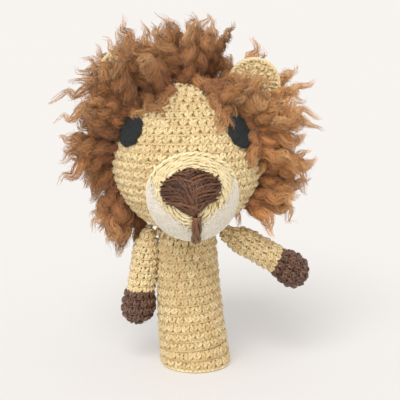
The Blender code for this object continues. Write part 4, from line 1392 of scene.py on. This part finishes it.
def make_mane():
    """The rows of locks, each lock placed, combed and shaded by its angle round the head."""
    number = 0
    for row_index, row in enumerate(MANE_ROWS):
        step = (row["last"] - row["first"]) / (row["count"] - 1)
        for i in range(row["count"]):
            number += 1
            azimuth = row["first"] + i * step
            polar = row["polar"]
            length = row["length"] + MANE_CROWN_EXTRA * max(0.0, math.cos(math.radians(azimuth))) ** 2
            lean = np.zeros(3)
            if row_index == 0:
                if abs(azimuth) < 10.0:
                    polar += MANE_PARTING
                elif abs(azimuth) > MANE_TEMPLE:
                    polar += MANE_CHEEK_SETBACK
                if abs(azimuth) > 45.0:
                    lean = np.array((0.0, 0.25, 0.0))
            share, *combed = LOCK_STYLES.get(number, (1.0, 0.0, 0.0, 0.0))
            shade = MANE_SHADE
            # painted light: the locks grow paler towards the raised arm; they are also paler low round the
            # head and darker towards the hanging arm
            shade += MANE_SIDE_LIGHT * max(0.0, math.sin(math.radians(azimuth - MANE_SIDE_FROM)))
            shade += MANE_LOW_SHADE * max(0.0, -math.cos(math.radians(azimuth)))
            shade -= MANE_FAR_SIDE_SHADE * max(0.0, -math.sin(math.radians(azimuth)))
            make_lock(number, polar, azimuth, length * share, lean + np.array(combed), shade)


make_mane()


# Fibre filling, carried over from the frame

for piece in frame["nodes"].values():
    if not piece.hide_render:
        piece.data.materials.clear()
        piece.data.materials.append(fibre_fill)


# Stage, light and camera

FLOOR_HALF = 80.0               # metres
FLOOR_COLOUR = (0.60, 0.588, 0.578)
FLOOR_GLOW = (0.225, 0.225, 0.222)
AMBIENT = 0.70
AMBIENT_COLOUR = (1.0, 0.97, 0.94)
WALL_COLOUR = (0.905, 0.885, 0.865)
KEY_POWER = 1.95
KEY_SOFTNESS = 36.0             # degrees
KEY_COLOUR = (1.0, 0.995, 0.985)
KEY_TRAVEL = (0.26, 0.85, -1.0)
FILL_POWER = 0.55
FILL_SOFTNESS = 50.0
FILL_TRAVEL = (-0.1, 1.0, 0.0)
CAMERA_OFFSET = (1.46, -360.0, 131.0)   # from the sleeve's foot, in millimetres
CAMERA_PITCH = 11.12
CAMERA_LENS = 93.2
CAMERA_SENSOR = 36.0


def make_stage():
    """A pale floor that runs on to the horizon."""
    half = FLOOR_HALF
    mesh = bpy.data.meshes.new("floor")
    corners = ((-half, -half, 0.0), (half, -half, 0.0), (half, half, 0.0), (-half, half, 0.0))
    mesh.from_pydata(corners, [], [(0, 1, 2, 3)])
    made = bpy.data.materials.new("paper")
    nodes = Nodes(made)
    shader = nodes.finish(nodes.mix(0.5, FLOOR_COLOUR, FLOOR_COLOUR), 1.0, sheen=0.0, specular=0.0)
    shader.inputs["Emission Color"].default_value = (*FLOOR_GLOW, 1.0)
    shader.inputs["Emission Strength"].default_value = 1.0
    mesh.materials.append(made)
    floor = bpy.data.objects.new("floor", mesh)
    bpy.context.scene.collection.objects.link(floor)


def make_light():
    """Even light all round, a soft key from the upper left and a weak fill from the front."""
    world = bpy.data.worlds.new("studio")
    world.use_nodes = True
    world.node_tree.nodes["Background"].inputs[0].default_value = (*AMBIENT_COLOUR, 1.0)
    world.node_tree.nodes["Background"].inputs[1].default_value = AMBIENT
    # seen directly, the far wall is as pale as the floor
    tree = world.node_tree
    wall = tree.nodes.new("ShaderNodeBackground")
    wall.inputs[0].default_value = (*WALL_COLOUR, 1.0)
    ray = tree.nodes.new("ShaderNodeLightPath")
    chosen = tree.nodes.new("ShaderNodeMixShader")
    tree.links.new(ray.outputs["Is Camera Ray"], chosen.inputs[0])
    tree.links.new(tree.nodes["Background"].outputs[0], chosen.inputs[1])
    tree.links.new(wall.outputs[0], chosen.inputs[2])
    tree.links.new(chosen.outputs[0], tree.nodes["World Output"].inputs[0])
    bpy.context.scene.world = world
    key = bpy.data.lights.new("key", "SUN")
    key.energy = KEY_POWER
    key.angle = math.radians(KEY_SOFTNESS)
    key.color = KEY_COLOUR
    fill = bpy.data.lights.new("fill", "SUN")
    fill.energy = FILL_POWER
    fill.angle = math.radians(FILL_SOFTNESS)
    for light, travel in ((key, KEY_TRAVEL), (fill, FILL_TRAVEL)):
        lamp = bpy.data.objects.new(light.name, light)
        lamp.rotation_euler = Vector(travel).to_track_quat("-Z", "Y").to_euler()
        bpy.context.scene.collection.objects.link(lamp)


def make_camera():
    """A long lens a little above the puppet, looking slightly down."""
    camera = bpy.data.cameras.new("camera")
    camera.lens = CAMERA_LENS
    camera.sensor_width = CAMERA_SENSOR
    camera.clip_start = 0.01
    camera.clip_end = 50.0
    holder = bpy.data.objects.new("camera", camera)
    holder.location = (SLEEVE_X + CAMERA_OFFSET[0] * MM, SLEEVE_Y + CAMERA_OFFSET[1] * MM,
                       CAMERA_OFFSET[2] * MM)
    holder.rotation_euler = (math.radians(90.0 - CAMERA_PITCH), 0.0, 0.0)
    bpy.context.scene.collection.objects.link(holder)
    bpy.context.scene.camera = holder


make_stage()
make_light()
make_camera()
bpy.context.scene.view_settings.view_transform = "Standard"
